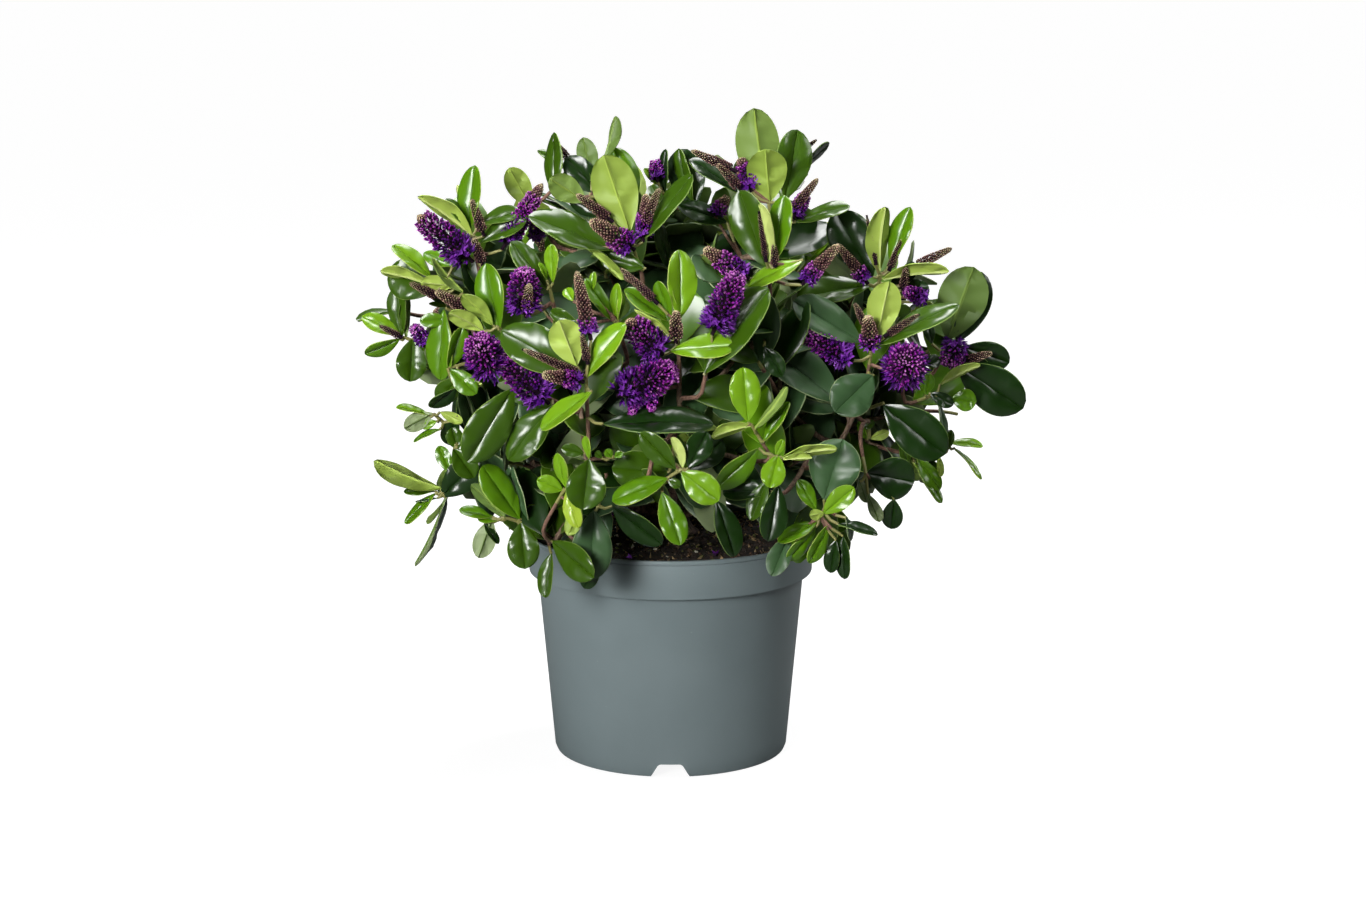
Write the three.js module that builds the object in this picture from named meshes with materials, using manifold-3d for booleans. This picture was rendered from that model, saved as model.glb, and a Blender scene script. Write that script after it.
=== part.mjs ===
// A shrubby hebe in a plastic nursery pot: pot, compost, a short stem, its boughs and the masses of foliage.
// Millimetres, +Z up. The origin is the centre of the pot's flat underside, and -Y is the front.
import * as THREE from "three";
import { mergeVertices } from "three/addons/utils/BufferGeometryUtils.js";
import Module from "manifold-3d";

// ---- Driving dimensions ----

const RIM_RADIUS = 95; // a 19 cm pot
const POT_HEIGHT = 147;
const COLLAR_DEPTH = 25.5; // the band round the top
const COLLAR_STEP = 7; // how far the rim stands out from the wall below it
const FOOT_RADIUS = 77;
const WALL = 1.8;
const FOOT_BEVEL = 2; // the lower corner
const LIP_HEIGHT = 2.6; // rolled bead at the very top
const LIP_PROUD = 0.7;
const COLLAR_DRAFT = 0.8; // how much the collar narrows downwards
const POT_SIDES = 40;

const NOTCH_COUNT = 3; // drainage channels under the foot
const NOTCH_WIDTH = 25; // at the ground
const NOTCH_ROOF = 15; // width at the top
const NOTCH_HEIGHT = 9.5;
const NOTCH_ROUND = 2; // its upper corners
const NOTCH_LENGTH = 36; // from the wall inwards

const SOIL_BELOW_RIM = 4;
const SOIL_MOUND = 3; // higher round the stem than at the wall
const FIT_GAP = 0.4; // clear space between pieces that touch

const STEM_FLARE_RADIUS = 19; // at the compost
const STEM_RADIUS = 12.5; // above the root flare
const STEM_TOP_RADIUS = 10.5;
const STEM_FLARE_HEIGHT = 11;
const STEM_HEIGHT = 42;
const STEM_SIDES = 18;

const BOUGH_TIP = 0.62; // tip radius as a share of the foot radius
const BOUGH_SIDES = 6;
const BOUGH_STEPS = 5;

const MASS_GAP = 0.6; // between neighbouring masses
const MASS_DETAIL = 3; // how finely a mass is faceted
const CROWN_FLOOR = 158; // lowest foliage over the pot, so that the compost shows
const POT_CLEARANCE = 4; // round the rim, where foliage hangs past it

// Three tiers of foliage. out and up place the middle of each mass, half is its half size outwards, sideways
// and upwards, and the bough that carries it leaves the stem at height rise above the compost.
const TIERS = {
  crest: { out: 48, up: 326, half: [58, 60, 60], boughRadius: 3.8, rise: 38, lean: 0.1 },
  shoulder: { out: 108, up: 284, half: [64, 70, 62], boughRadius: 3.6, rise: 28, lean: 0.28 },
  skirt: { out: 120, up: 208, half: [54, 60, 52], boughRadius: 3.2, rise: 14, lean: 0.6 },
};

// Each mass: its tier, its bearing in degrees (0 towards -Y, 90 towards +X), the furthest shoot tips that it
// reaches, and how much higher than its tier it sits, where it does.
const MASSES = {
  crest_left: { tier: "crest", bearing: 285, tips: [[-36, 5, 411], [-84, -20, 394]] },
  crest_right: { tier: "crest", bearing: 65, tips: [[55, -10, 415], [94, 10, 394]] },
  crest_back: { tier: "crest", bearing: 175, tips: [[10, 82, 396], [-48, 96, 372]] },
  shoulder_front_left: { tier: "shoulder", bearing: 330, tips: [[-118, -110, 338], [-60, -158, 318]] },
  shoulder_front_right: { tier: "shoulder", bearing: 28, tips: [[45, -162, 326], [102, -128, 340]] },
  shoulder_right: { tier: "shoulder", bearing: 88, tips: [[146, -12, 356], [196, 0, 312], [208, 16, 268]] },
  shoulder_back_right: { tier: "shoulder", bearing: 150, tips: [[122, 125, 342], [78, 170, 320]] },
  shoulder_back_left: { tier: "shoulder", bearing: 212, tips: [[-95, 140, 346], [-140, 104, 328]] },
  shoulder_left: {
    tier: "shoulder",
    bearing: 272,
    tips: [[-134, 0, 380], [-162, -30, 350], [-204, -9, 288]],
  },
  skirt_front: { tier: "skirt", bearing: 2, tips: [[-16, -184, 236], [28, -178, 212]], lift: 18 },
  skirt_front_right: { tier: "skirt", bearing: 46, tips: [[132, -128, 226], [92, -104, 130]], lift: 6 },
  skirt_right: { tier: "skirt", bearing: 92, tips: [[233, -8, 242], [180, -24, 178]], lift: 8 },
  skirt_back_right: { tier: "skirt", bearing: 138, tips: [[144, 134, 214], [112, 118, 148]] },
  skirt_back: { tier: "skirt", bearing: 182, tips: [[-20, 196, 222], [28, 170, 162]] },
  skirt_back_left: { tier: "skirt", bearing: 226, tips: [[-138, 138, 210], [-108, 108, 142]] },
  skirt_left: { tier: "skirt", bearing: 268, tips: [[-192, -10, 188], [-160, 22, 134]] },
  skirt_front_left: { tier: "skirt", bearing: 314, tips: [[-132, -122, 222], [-76, -100, 120]] },
};

const TIP_WIDTH = 0.08; // how broad the swelling under a shoot tip is
const TIP_SWELL = 1.1; // makes up for a tip that falls between two corners of the facets
const UNEVENNESS = 0.07; // ripple of a mass, as a share of its size

// ---- Materials ----

const plastic = new THREE.MeshStandardMaterial({ color: 0x6c7a78, roughness: 0.5, metalness: 0 });
const compost = new THREE.MeshStandardMaterial({ color: 0x2b211a, roughness: 0.95, metalness: 0 });
const bark = new THREE.MeshStandardMaterial({ color: 0x7a5748, roughness: 0.8, metalness: 0 });
const foliage = new THREE.MeshStandardMaterial({ color: 0x3f6b26, roughness: 0.45, metalness: 0 });

// ---- Solids ----

const wasm = await Module();
wasm.setup();

// A closed geometry as a manifold-3d solid, with faces out.
function solidOf(geometry) {
  const loose = geometry.index ? geometry.toNonIndexed() : geometry.clone();
  loose.deleteAttribute("normal");
  loose.deleteAttribute("uv");
  const merged = mergeVertices(loose, 1e-3);
  const corners = merged.index.array;
  const kept = [];
  for (let i = 0; i < corners.length; i += 3) {
    const [a, b, c] = corners.slice(i, i + 3);
    if (a !== b && b !== c && c !== a) kept.push(a, b, c);
  }
  const build = (triVerts) =>
    new wasm.Manifold(
      new wasm.Mesh({
        numProp: 3,
        vertProperties: merged.attributes.position.array,
        triVerts: new Uint32Array(triVerts),
      }),
    );
  const solid = build(kept);
  return solid.volume() > 0 ? solid : build(kept.reverse());
}

// A solid as a geometry for a mesh.
function geometryOf(solid) {
  const found = solid.getMesh();
  const places = new Float32Array(found.numVert * 3);
  for (let i = 0; i < found.numVert; i++) {
    const at = i * found.numProp;
    places.set(found.vertProperties.subarray(at, at + 3), i * 3);
  }
  const geometry = new THREE.BufferGeometry();
  geometry.setAttribute("position", new THREE.BufferAttribute(places, 3));
  geometry.setIndex(new THREE.BufferAttribute(new Uint32Array(found.triVerts), 1));
  geometry.computeVertexNormals();
  return geometry;
}

// The biggest body of a solid, without slivers that a cut left.
function biggest(solid) {
  return solid.decompose().reduce((best, body) => (body.volume() > best.volume() ? body : best));
}

// A body turned about the Z axis from a profile of [radius, height] points.
function turned(profile, sides) {
  const points = profile.map(([radius, height]) => new THREE.Vector2(radius, height));
  return new THREE.LatheGeometry(points, sides).rotateX(Math.PI / 2);
}

// A unit vector at a bearing: 0 is -Y and 90 is +X.
function outwards(bearing) {
  const angle = THREE.MathUtils.degToRad(bearing);
  return new THREE.Vector3(Math.sin(angle), -Math.cos(angle), 0);
}

// ---- The pot ----

const SHOULDER_Z = POT_HEIGHT - COLLAR_DEPTH;
const WALL_TOP_RADIUS = RIM_RADIUS - COLLAR_STEP;
const COLLAR_RADIUS = RIM_RADIUS - LIP_PROUD;
const COLLAR_FOOT_RADIUS = COLLAR_RADIUS - COLLAR_DRAFT;

function potProfile() {
  return [
    [0, 0],
    [FOOT_RADIUS - FOOT_BEVEL, 0],
    [FOOT_RADIUS, FOOT_BEVEL],
    [WALL_TOP_RADIUS, SHOULDER_Z],
    [COLLAR_FOOT_RADIUS, SHOULDER_Z],
    [COLLAR_RADIUS, POT_HEIGHT - LIP_HEIGHT],
    [RIM_RADIUS, POT_HEIGHT - LIP_HEIGHT],
    [RIM_RADIUS, POT_HEIGHT],
    [COLLAR_RADIUS - WALL, POT_HEIGHT],
    [COLLAR_FOOT_RADIUS - WALL, SHOULDER_Z + WALL],
    [WALL_TOP_RADIUS - WALL, SHOULDER_Z + WALL],
    [FOOT_RADIUS - WALL, WALL],
    [0, WALL],
  ];
}

// A drainage channel's space, grown by extra on every side, running in from outside the wall.
function channel(bearing, extra) {
  const half = NOTCH_WIDTH / 2 + extra;
  const roof = NOTCH_ROOF / 2 + extra;
  const top = NOTCH_HEIGHT + extra;
  const section = new THREE.Shape();
  section.moveTo(-half, -NOTCH_ROUND);
  section.lineTo(half, -NOTCH_ROUND);
  section.lineTo(half, 0);
  section.lineTo(roof + NOTCH_ROUND / 2, top - NOTCH_ROUND);
  section.quadraticCurveTo(roof, top, roof - NOTCH_ROUND, top);
  section.lineTo(-roof + NOTCH_ROUND, top);
  section.quadraticCurveTo(-roof, top, -roof - NOTCH_ROUND / 2, top - NOTCH_ROUND);
  section.lineTo(-half, 0);
  section.closePath();
  const depth = NOTCH_LENGTH + extra + WALL * 2;
  const prism = new THREE.ExtrudeGeometry(section, { depth, bevelEnabled: false, curveSegments: 2 });
  prism.rotateX(Math.PI / 2); // the section stands up and runs towards -Y
  prism.translate(0, -(FOOT_RADIUS - NOTCH_LENGTH - extra), 0);
  prism.rotateZ(THREE.MathUtils.degToRad(bearing));
  return solidOf(prism);
}

const notchBearings = Array.from({ length: NOTCH_COUNT }, (_, i) => (i * 360) / NOTCH_COUNT);

function makePot() {
  let pot = solidOf(turned(potProfile(), POT_SIDES));
  const outline = [
    [0, 0],
    [FOOT_RADIUS, 0],
    [FOOT_RADIUS, FOOT_BEVEL],
    [WALL_TOP_RADIUS, SHOULDER_Z],
    [0, SHOULDER_Z],
  ];
  const outside = solidOf(turned(outline, POT_SIDES));
  for (const bearing of notchBearings) pot = pot.add(channel(bearing, WALL).intersect(outside));
  for (const bearing of notchBearings) pot = pot.subtract(channel(bearing, 0));
  return biggest(pot);
}

// ---- The compost, which fills the pot ----

const SOIL_WALL_Z = POT_HEIGHT - SOIL_BELOW_RIM;
const SOIL_TOP_Z = SOIL_WALL_Z + SOIL_MOUND;

function makeSoil() {
  const away = WALL + FIT_GAP;
  const stemBed = STEM_FLARE_RADIUS + 3;
  const profile = [
    [0, away],
    [FOOT_RADIUS - away, away],
    [WALL_TOP_RADIUS - away, SHOULDER_Z + away],
    [COLLAR_FOOT_RADIUS - away, SHOULDER_Z + away],
    [COLLAR_FOOT_RADIUS - away, SOIL_WALL_Z],
    [stemBed, SOIL_TOP_Z],
    [0, SOIL_TOP_Z],
  ];
  let soil = solidOf(turned(profile, POT_SIDES));
  for (const bearing of notchBearings) soil = soil.subtract(channel(bearing, WALL + FIT_GAP));
  return biggest(soil);
}

// ---- The stem and its boughs ----

const STEM_FOOT_Z = SOIL_TOP_Z + FIT_GAP;

// The stem, grown by extra on every side but the foot.
function makeStem(extra) {
  const profile = [
    [0, 0],
    [STEM_FLARE_RADIUS + extra, 0],
    [STEM_FLARE_RADIUS * 0.78 + extra, STEM_FLARE_HEIGHT * 0.35],
    [STEM_RADIUS + extra, STEM_FLARE_HEIGHT],
    [STEM_TOP_RADIUS + extra, STEM_HEIGHT + extra],
    [0, STEM_HEIGHT + extra],
  ];
  return solidOf(turned(profile, STEM_SIDES).translate(0, 0, STEM_FOOT_Z));
}

// One tapering limb along a curve, closed at both ends.
function limb(curve, radiusAt, sides, steps) {
  const frames = curve.computeFrenetFrames(steps, false);
  const places = [];
  const corners = [];
  for (let i = 0; i <= steps; i++) {
    const at = curve.getPointAt(i / steps);
    const radius = radiusAt(i / steps);
    for (let j = 0; j < sides; j++) {
      const angle = (2 * Math.PI * j) / sides;
      const around = frames.normals[i].clone().multiplyScalar(Math.cos(angle) * radius);
      around.addScaledVector(frames.binormals[i], Math.sin(angle) * radius);
      places.push(...at.clone().add(around).toArray());
    }
  }
  for (let i = 0; i < steps; i++) {
    for (let j = 0; j < sides; j++) {
      const a = i * sides + j;
      const b = i * sides + ((j + 1) % sides);
      corners.push(a, b, b + sides, a, b + sides, a + sides);
    }
  }
  for (let j = 1; j < sides - 1; j++) {
    corners.push(0, j + 1, j);
    const last = steps * sides;
    corners.push(last, last + j, last + j + 1);
  }
  const geometry = new THREE.BufferGeometry();
  geometry.setAttribute("position", new THREE.Float32BufferAttribute(places, 3));
  geometry.setIndex(corners);
  return solidOf(geometry);
}

// The line of a mass's bough: out of the stem, up, and over towards the middle of the mass.
function boughCurve(mass) {
  const tier = TIERS[mass.tier];
  const way = outwards(mass.bearing);
  const rise = STEM_FOOT_Z + tier.rise;
  const start = way.clone().multiplyScalar(STEM_TOP_RADIUS * 0.6).setZ(rise - 4);
  const end = middleOf(mass);
  const bend = way.clone().multiplyScalar(tier.out * tier.lean);
  bend.z = THREE.MathUtils.lerp(rise, tier.up, 0.5);
  return new THREE.QuadraticBezierCurve3(start, bend, end);
}

function makeBough(mass, extra) {
  const foot = TIERS[mass.tier].boughRadius;
  const radiusAt = (t) => foot * THREE.MathUtils.lerp(1, BOUGH_TIP, t) + extra;
  return limb(boughCurve(mass), radiusAt, BOUGH_SIDES, BOUGH_STEPS);
}

// ---- The masses of foliage ----

function middleOf(mass) {
  const tier = TIERS[mass.tier];
  return outwards(mass.bearing).multiplyScalar(tier.out).setZ(tier.up + (mass.lift ?? 0));
}

// How far a mass reaches from its middle in a direction, before its tips are added.
function bodyReach(mass, way) {
  const [deep, wide, tall] = TIERS[mass.tier].half;
  const out = outwards(mass.bearing);
  const side = new THREE.Vector3(-out.y, out.x, 0);
  const shape = Math.hypot(way.dot(out) / deep, way.dot(side) / wide, way.z / tall);
  const phase = mass.bearing * 0.7;
  const ripple =
    Math.sin(5.1 * way.x + phase) + Math.sin(6.3 * way.y + 2 * phase) + Math.sin(5.7 * way.z - phase);
  return (1 + UNEVENNESS * ripple) / shape;
}

// A closed, uneven body that swells out to each of its shoot tips.
function makeBody(mass) {
  const middle = middleOf(mass);
  const tips = mass.tips.map((tip) => {
    const way = new THREE.Vector3(...tip).sub(middle);
    const reach = way.length();
    way.normalize();
    return { way, swell: reach - bodyReach(mass, way) };
  });
  const ball = new THREE.IcosahedronGeometry(1, MASS_DETAIL);
  const at = ball.getAttribute("position");
  const way = new THREE.Vector3();
  for (let i = 0; i < at.count; i++) {
    way.fromBufferAttribute(at, i).normalize();
    let reach = bodyReach(mass, way);
    for (const tip of tips) reach += TIP_SWELL * tip.swell * Math.exp((way.dot(tip.way) - 1) / TIP_WIDTH);
    at.setXYZ(i, ...way.multiplyScalar(reach).add(middle).toArray());
  }
  return solidOf(ball);
}

// The half space on this mass's side of the plane midway to its neighbour, as a big block.
function sideOf(middle, neighbour) {
  const span = 900;
  const way = neighbour.clone().sub(middle);
  const reach = way.length() / 2 - MASS_GAP / 2;
  way.normalize();
  const block = new THREE.BoxGeometry(span, span, span);
  block.translate(0, 0, reach - span / 2);
  block.applyQuaternion(new THREE.Quaternion().setFromUnitVectors(new THREE.Vector3(0, 0, 1), way));
  block.translate(middle.x, middle.y, middle.z);
  return solidOf(block);
}

// The space over and round the pot that foliage keeps out of.
function makePotRoom() {
  const rim = RIM_RADIUS + POT_CLEARANCE;
  const outline = [
    [0, 0],
    [rim, 0],
    [rim, POT_HEIGHT + POT_CLEARANCE],
    [WALL_TOP_RADIUS, CROWN_FLOOR],
    [0, CROWN_FLOOR],
  ];
  return solidOf(turned(outline, POT_SIDES));
}

function makeMass(name, potRoom, boughRooms) {
  const mass = MASSES[name];
  const middle = middleOf(mass);
  let body = makeBody(mass).subtract(potRoom);
  for (const [other, neighbour] of Object.entries(MASSES)) {
    if (other === name) continue;
    body = body.intersect(sideOf(middle, middleOf(neighbour)));
    body = body.subtract(boughRooms[other]);
  }
  return biggest(body);
}

// ---- The whole plant ----

const plant = new THREE.Group();

function place(name, solid, material) {
  const mesh = new THREE.Mesh(geometryOf(solid), material);
  mesh.name = name;
  plant.add(mesh);
}

place("pot", makePot(), plastic);
place("compost", makeSoil(), compost);
place("stem", makeStem(0), bark);

const potRoom = makePotRoom();
const stemRoom = makeStem(FIT_GAP);
const boughRooms = {};
for (const [name, mass] of Object.entries(MASSES)) boughRooms[name] = makeBough(mass, FIT_GAP);

for (const [name, mass] of Object.entries(MASSES)) {
  const leaves = makeMass(name, potRoom, boughRooms);
  place(`leaves_${name}`, leaves, foliage);
  // The bough ends where it enters its leaves, a little short of them.
  const back = boughCurve(mass).getTangentAt(0.6).multiplyScalar(-FIT_GAP);
  const bough = makeBough(mass, 0).subtract(stemRoom).subtract(leaves);
  place(`bough_${name}`, biggest(bough.subtract(leaves.translate(back.toArray()))), bark);
}

export default plant;
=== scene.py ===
import math
from collections import namedtuple

import bpy
import numpy as np
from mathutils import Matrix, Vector
from mathutils.bvhtree import BVHTree


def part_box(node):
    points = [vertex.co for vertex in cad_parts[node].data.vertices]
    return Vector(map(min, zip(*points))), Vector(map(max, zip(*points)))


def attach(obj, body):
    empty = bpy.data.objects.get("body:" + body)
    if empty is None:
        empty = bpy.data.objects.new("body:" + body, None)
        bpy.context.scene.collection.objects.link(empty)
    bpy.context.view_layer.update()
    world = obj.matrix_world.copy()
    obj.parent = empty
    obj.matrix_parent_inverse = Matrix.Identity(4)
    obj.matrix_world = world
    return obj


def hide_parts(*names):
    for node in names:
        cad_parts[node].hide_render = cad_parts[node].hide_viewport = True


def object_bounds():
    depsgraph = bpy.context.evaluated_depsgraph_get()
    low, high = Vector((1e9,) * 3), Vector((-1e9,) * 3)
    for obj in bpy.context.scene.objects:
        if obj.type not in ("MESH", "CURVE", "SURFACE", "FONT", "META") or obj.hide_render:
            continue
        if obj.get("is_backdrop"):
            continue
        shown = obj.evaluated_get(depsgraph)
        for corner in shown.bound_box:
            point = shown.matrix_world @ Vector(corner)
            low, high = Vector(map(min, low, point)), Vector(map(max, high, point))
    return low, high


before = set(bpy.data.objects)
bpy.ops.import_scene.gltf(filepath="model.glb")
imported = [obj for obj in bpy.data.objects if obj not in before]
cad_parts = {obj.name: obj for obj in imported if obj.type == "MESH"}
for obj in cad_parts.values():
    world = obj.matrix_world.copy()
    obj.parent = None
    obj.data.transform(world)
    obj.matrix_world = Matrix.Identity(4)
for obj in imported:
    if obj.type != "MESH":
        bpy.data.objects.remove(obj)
cad_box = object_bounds()

# ---- The camera ----
# A short telephoto on a stand, a little above the top of the plant and tipped down to its middle.
# Its place is in millimetres, like every size below, and MM turns them into Blender's metres.

MM = 0.001
LENS = 68.6
SENSOR = 36.0
EYE = (8.2, -1684.0, 509.0)
TIPPED_DOWN = math.radians(10.5)

camera = bpy.data.objects.new("camera", bpy.data.cameras.new("camera"))
camera.data.lens = LENS
camera.data.sensor_width = SENSOR
camera.location = Vector(EYE) * MM
camera.rotation_euler = (math.pi / 2 - TIPPED_DOWN, 0, 0)
bpy.context.collection.objects.link(camera)
bpy.context.scene.camera = camera

# ---- The studio ----
# A white sweep of floor that runs out of sight, under soft lamps: a key with a grid from the front
# left, a broad one overhead, a weaker one high on the right, and a strip behind that edges the leaves.

FLOOR_REACH = 90.0
GLOW_FROM, GLOW_TO = 0.1, 1.0
GLOW_NEAR, GLOW_FAR = 0.9, 0.98
ROOM_LIGHT = 0.04


def linear(colour):
    """The linear colour of an sRGB hex value."""
    shares = [int(colour[i : i + 2], 16) / 255 for i in (1, 3, 5)]
    return (*(s / 12.92 if s <= 0.04045 else ((s + 0.055) / 1.055) ** 2.4 for s in shares), 1.0)


def add_node(tree, kind, inputs, **settings):
    """A node of this kind; an input is a value, or another node's output that it is linked to."""
    node = tree.nodes.new(kind)
    for name, value in settings.items():
        setattr(node, name, value)
    for name, value in inputs.items():
        if isinstance(value, bpy.types.NodeSocket):
            tree.links.new(value, node.inputs[name])
        else:
            node.inputs[name].default_value = value
    return node


def new_finish(name, colour, **shader):
    """A material with one Principled shader, returned with its node tree and the shader."""
    material = bpy.data.materials.new(name)
    material.use_nodes = True
    tree = material.node_tree
    tree.nodes.clear()
    inputs = {key.replace("_", " ").title().replace("Ior", "IOR"): value for key, value in shader.items()}
    surface = add_node(tree, "ShaderNodeBsdfPrincipled", {"Base Color": linear(colour), **inputs})
    add_node(tree, "ShaderNodeOutputMaterial", {"Surface": surface.outputs["BSDF"]})
    return material, tree, surface


# Painted sweep: matt white emulsion, which gives the eye an even pale ground with soft shadows.
floor_paint, paint_tree, paint = new_finish("matt_white_floor_paint", "#787878", roughness=0.9)
paint.inputs["Emission Color"].default_value = linear("#ffffff")
in_view = add_node(paint_tree, "ShaderNodeLightPath", {}).outputs["Is Camera Ray"]
floor_place = add_node(paint_tree, "ShaderNodeTexCoord", {}).outputs["Object"]
from_pot = add_node(paint_tree, "ShaderNodeVectorMath", {0: floor_place}, operation="LENGTH")
whiteness = add_node(
    paint_tree,
    "ShaderNodeMapRange",
    {
        "Value": from_pot.outputs["Value"],
        "From Min": GLOW_FROM,
        "From Max": GLOW_TO,
        "To Min": GLOW_NEAR,
        "To Max": GLOW_FAR,
    },
)
glow = add_node(paint_tree, "ShaderNodeMath", {0: in_view, 1: whiteness.outputs[0]}, operation="MULTIPLY")
paint_tree.links.new(glow.outputs[0], paint.inputs["Emission Strength"])

bpy.ops.object.select_all(action="DESELECT")
bpy.ops.mesh.primitive_circle_add(vertices=96, radius=FLOOR_REACH, fill_type="NGON")
floor = bpy.context.object
floor.name = "studio_floor"
floor.data.materials.append(floor_paint)
floor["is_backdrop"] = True

Lamp = namedtuple("Lamp", "place size power spread")
LAMPS = {
    "key_softbox": Lamp((-780, -1430, 760), (760, 760), 3.4, 34),
    "overhead_softbox": Lamp((150, 380, 1800), (800, 760), 38, 180),
    "right_softbox": Lamp((1150, -560, 1450), (600, 600), 9, 180),
    "right_back_strip": Lamp((1300, 900, 900), (250, 1000), 8, 180),
}
LAMPS_AIM = Vector((0, 0, 320))

for name, lamp in LAMPS.items():
    softbox = bpy.data.objects.new(name, bpy.data.lights.new(name, "AREA"))
    softbox.data.shape = "RECTANGLE"
    softbox.data.size, softbox.data.size_y = (side * MM for side in lamp.size)
    softbox.data.energy = lamp.power
    softbox.data.spread = math.radians(lamp.spread)
    softbox.location = Vector(lamp.place) * MM
    softbox.rotation_euler = (LAMPS_AIM - Vector(lamp.place)).to_track_quat("-Z", "Y").to_euler()
    bpy.context.collection.objects.link(softbox)

world = bpy.data.worlds.new("white_studio")
bpy.context.scene.world = world
world.use_nodes = True
world.node_tree.nodes.clear()
seen_by = add_node(world.node_tree, "ShaderNodeLightPath", {})
walls, beyond = (
    add_node(world.node_tree, "ShaderNodeBackground", {"Color": linear("#ffffff"), "Strength": strength})
    for strength in (ROOM_LIGHT, 1.0)
)
either = add_node(
    world.node_tree,
    "ShaderNodeMixShader",
    {0: seen_by.outputs["Is Camera Ray"], 1: walls.outputs[0], 2: beyond.outputs[0]},
)
add_node(world.node_tree, "ShaderNodeOutputWorld", {"Surface": either.outputs[0]})
bpy.context.scene.view_settings.view_transform = "Standard"

# ---- The pot ----
# A round nursery pot of grey-green polypropylene, injection moulded in one piece, with a deep
# collar that takes the next pot in a stack, a small lip, and three drainage notches in its foot.

POT_SIDES = 128
WALL = 1.8
LIP_PROUD = 0.7
LIP_HEIGHT = 2.6
LIP_ROUND = 1.2
LIP_CREASE = 0.8
COLLAR_DEPTH = 25.5
COLLAR_STEP = 7.0
COLLAR_DRAFT = 0.8
FOOT_NARROWER = 18.0
CORNER_ROUND = 0.7
FOOT_ROUND = 3.6
WALL_ROUND = 1.0
SHOULDER_ROUND = 1.2
CREASE_EDGE = 0.2
CREASE_ROOT = 0.1
NOTCHES = 3
NOTCH_WIDTH = 27.0
NOTCH_ROOF = 15.0
NOTCH_HEIGHT = 9.5
NOTCH_LENGTH = 36.0
NOTCH_ROUND = 1.6
NOTCH_CLEAR = 4.0
SMOOTH_BELOW = math.radians(32)

pot_low, pot_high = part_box("pot")
POT_HEIGHT = pot_high.z / MM
RIM_RADIUS = (pot_high.x - pot_low.x) / 2 / MM
FOOT_RADIUS = RIM_RADIUS - FOOT_NARROWER
FLOOR_RING = FOOT_RADIUS / 2
SHOULDER_Z = POT_HEIGHT - COLLAR_DEPTH
WALL_TOP_RADIUS = RIM_RADIUS - COLLAR_STEP
COLLAR_RADIUS = RIM_RADIUS - LIP_PROUD
COLLAR_FOOT_RADIUS = COLLAR_RADIUS - COLLAR_DRAFT
PLAIN_ABOVE = NOTCH_HEIGHT + NOTCH_CLEAR
PLAIN_RADIUS = FOOT_RADIUS + (WALL_TOP_RADIUS - FOOT_RADIUS) * PLAIN_ABOVE / SHOULDER_Z


def soften(profile):
    """A profile of (radius, height, rounding) corners with each corner turned into a small arc."""
    points = [profile[0][:2]]
    for before, corner, after in zip(profile, profile[1:], profile[2:]):
        spot = Vector(corner[:2])
        ends = [spot + (Vector(other[:2]) - spot).normalized() * corner[2] for other in (before, after)]
        points += [tuple(ends[0]), tuple((ends[0] + ends[1] + spot * 2) / 4), tuple(ends[1])]
    return [*points, profile[-1][:2]]


def turned(name, rings, sides):
    """A closed piece turned from (radius, height) rings, each grown from the one before it."""
    bpy.ops.object.select_all(action="DESELECT")
    radius, height = rings[0]
    bpy.ops.mesh.primitive_circle_add(
        vertices=sides, radius=radius * MM, fill_type="NGON", location=(0, 0, height * MM)
    )
    piece = bpy.context.object
    piece.name = name
    piece.data.name = name
    bpy.ops.object.mode_set(mode="EDIT")
    bpy.ops.mesh.select_all(action="SELECT")
    bpy.ops.mesh.region_to_loop()
    for next_radius, next_height in rings[1:]:
        bpy.ops.mesh.extrude_edges_move(
            TRANSFORM_OT_translate={"value": (0, 0, (next_height - height) * MM)}
        )
        wider = next_radius / radius
        bpy.ops.transform.resize(value=(wider, wider, 1), center_override=(0, 0, next_height * MM))
        radius, height = next_radius, next_height
    bpy.ops.mesh.edge_face_add()
    bpy.ops.mesh.select_all(action="SELECT")
    bpy.ops.mesh.normals_make_consistent(inside=False)
    bpy.ops.object.mode_set(mode="OBJECT")
    bpy.ops.object.transform_apply(location=True, rotation=True, scale=True)
    return piece


def channel(bearing, extra, outer_end):
    """A block of a drainage channel's shape, grown by extra, from inside the pot to outer_end."""
    inner_end = FOOT_RADIUS - NOTCH_LENGTH - extra
    width = NOTCH_WIDTH + 2 * extra
    under = WALL / 2 - extra / 2
    height = NOTCH_HEIGHT + extra + under
    bpy.ops.object.select_all(action="DESELECT")
    bpy.ops.mesh.primitive_cube_add(size=1)
    block = bpy.context.object
    block.dimensions = Vector((width, outer_end - inner_end, height)) * MM
    block.location = Vector((0, -(outer_end + inner_end) / 2, height / 2 - under)) * MM
    bpy.ops.object.transform_apply(location=True, rotation=True, scale=True)
    bpy.ops.object.mode_set(mode="EDIT")
    bpy.ops.mesh.select_all(action="DESELECT")
    bpy.ops.object.mode_set(mode="OBJECT")
    for face in block.data.polygons:
        face.select = face.normal.z > 0.5
    bpy.ops.object.mode_set(mode="EDIT")
    roof = (NOTCH_ROOF + 2 * extra) / width
    bpy.ops.transform.resize(value=(roof, 1, 1))
    bpy.ops.mesh.bevel(offset=NOTCH_ROUND * MM, segments=3)
    bpy.ops.object.mode_set(mode="OBJECT")
    block.rotation_euler.z = bearing
    bpy.ops.object.transform_apply(location=True, rotation=True, scale=True)
    return block


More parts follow.
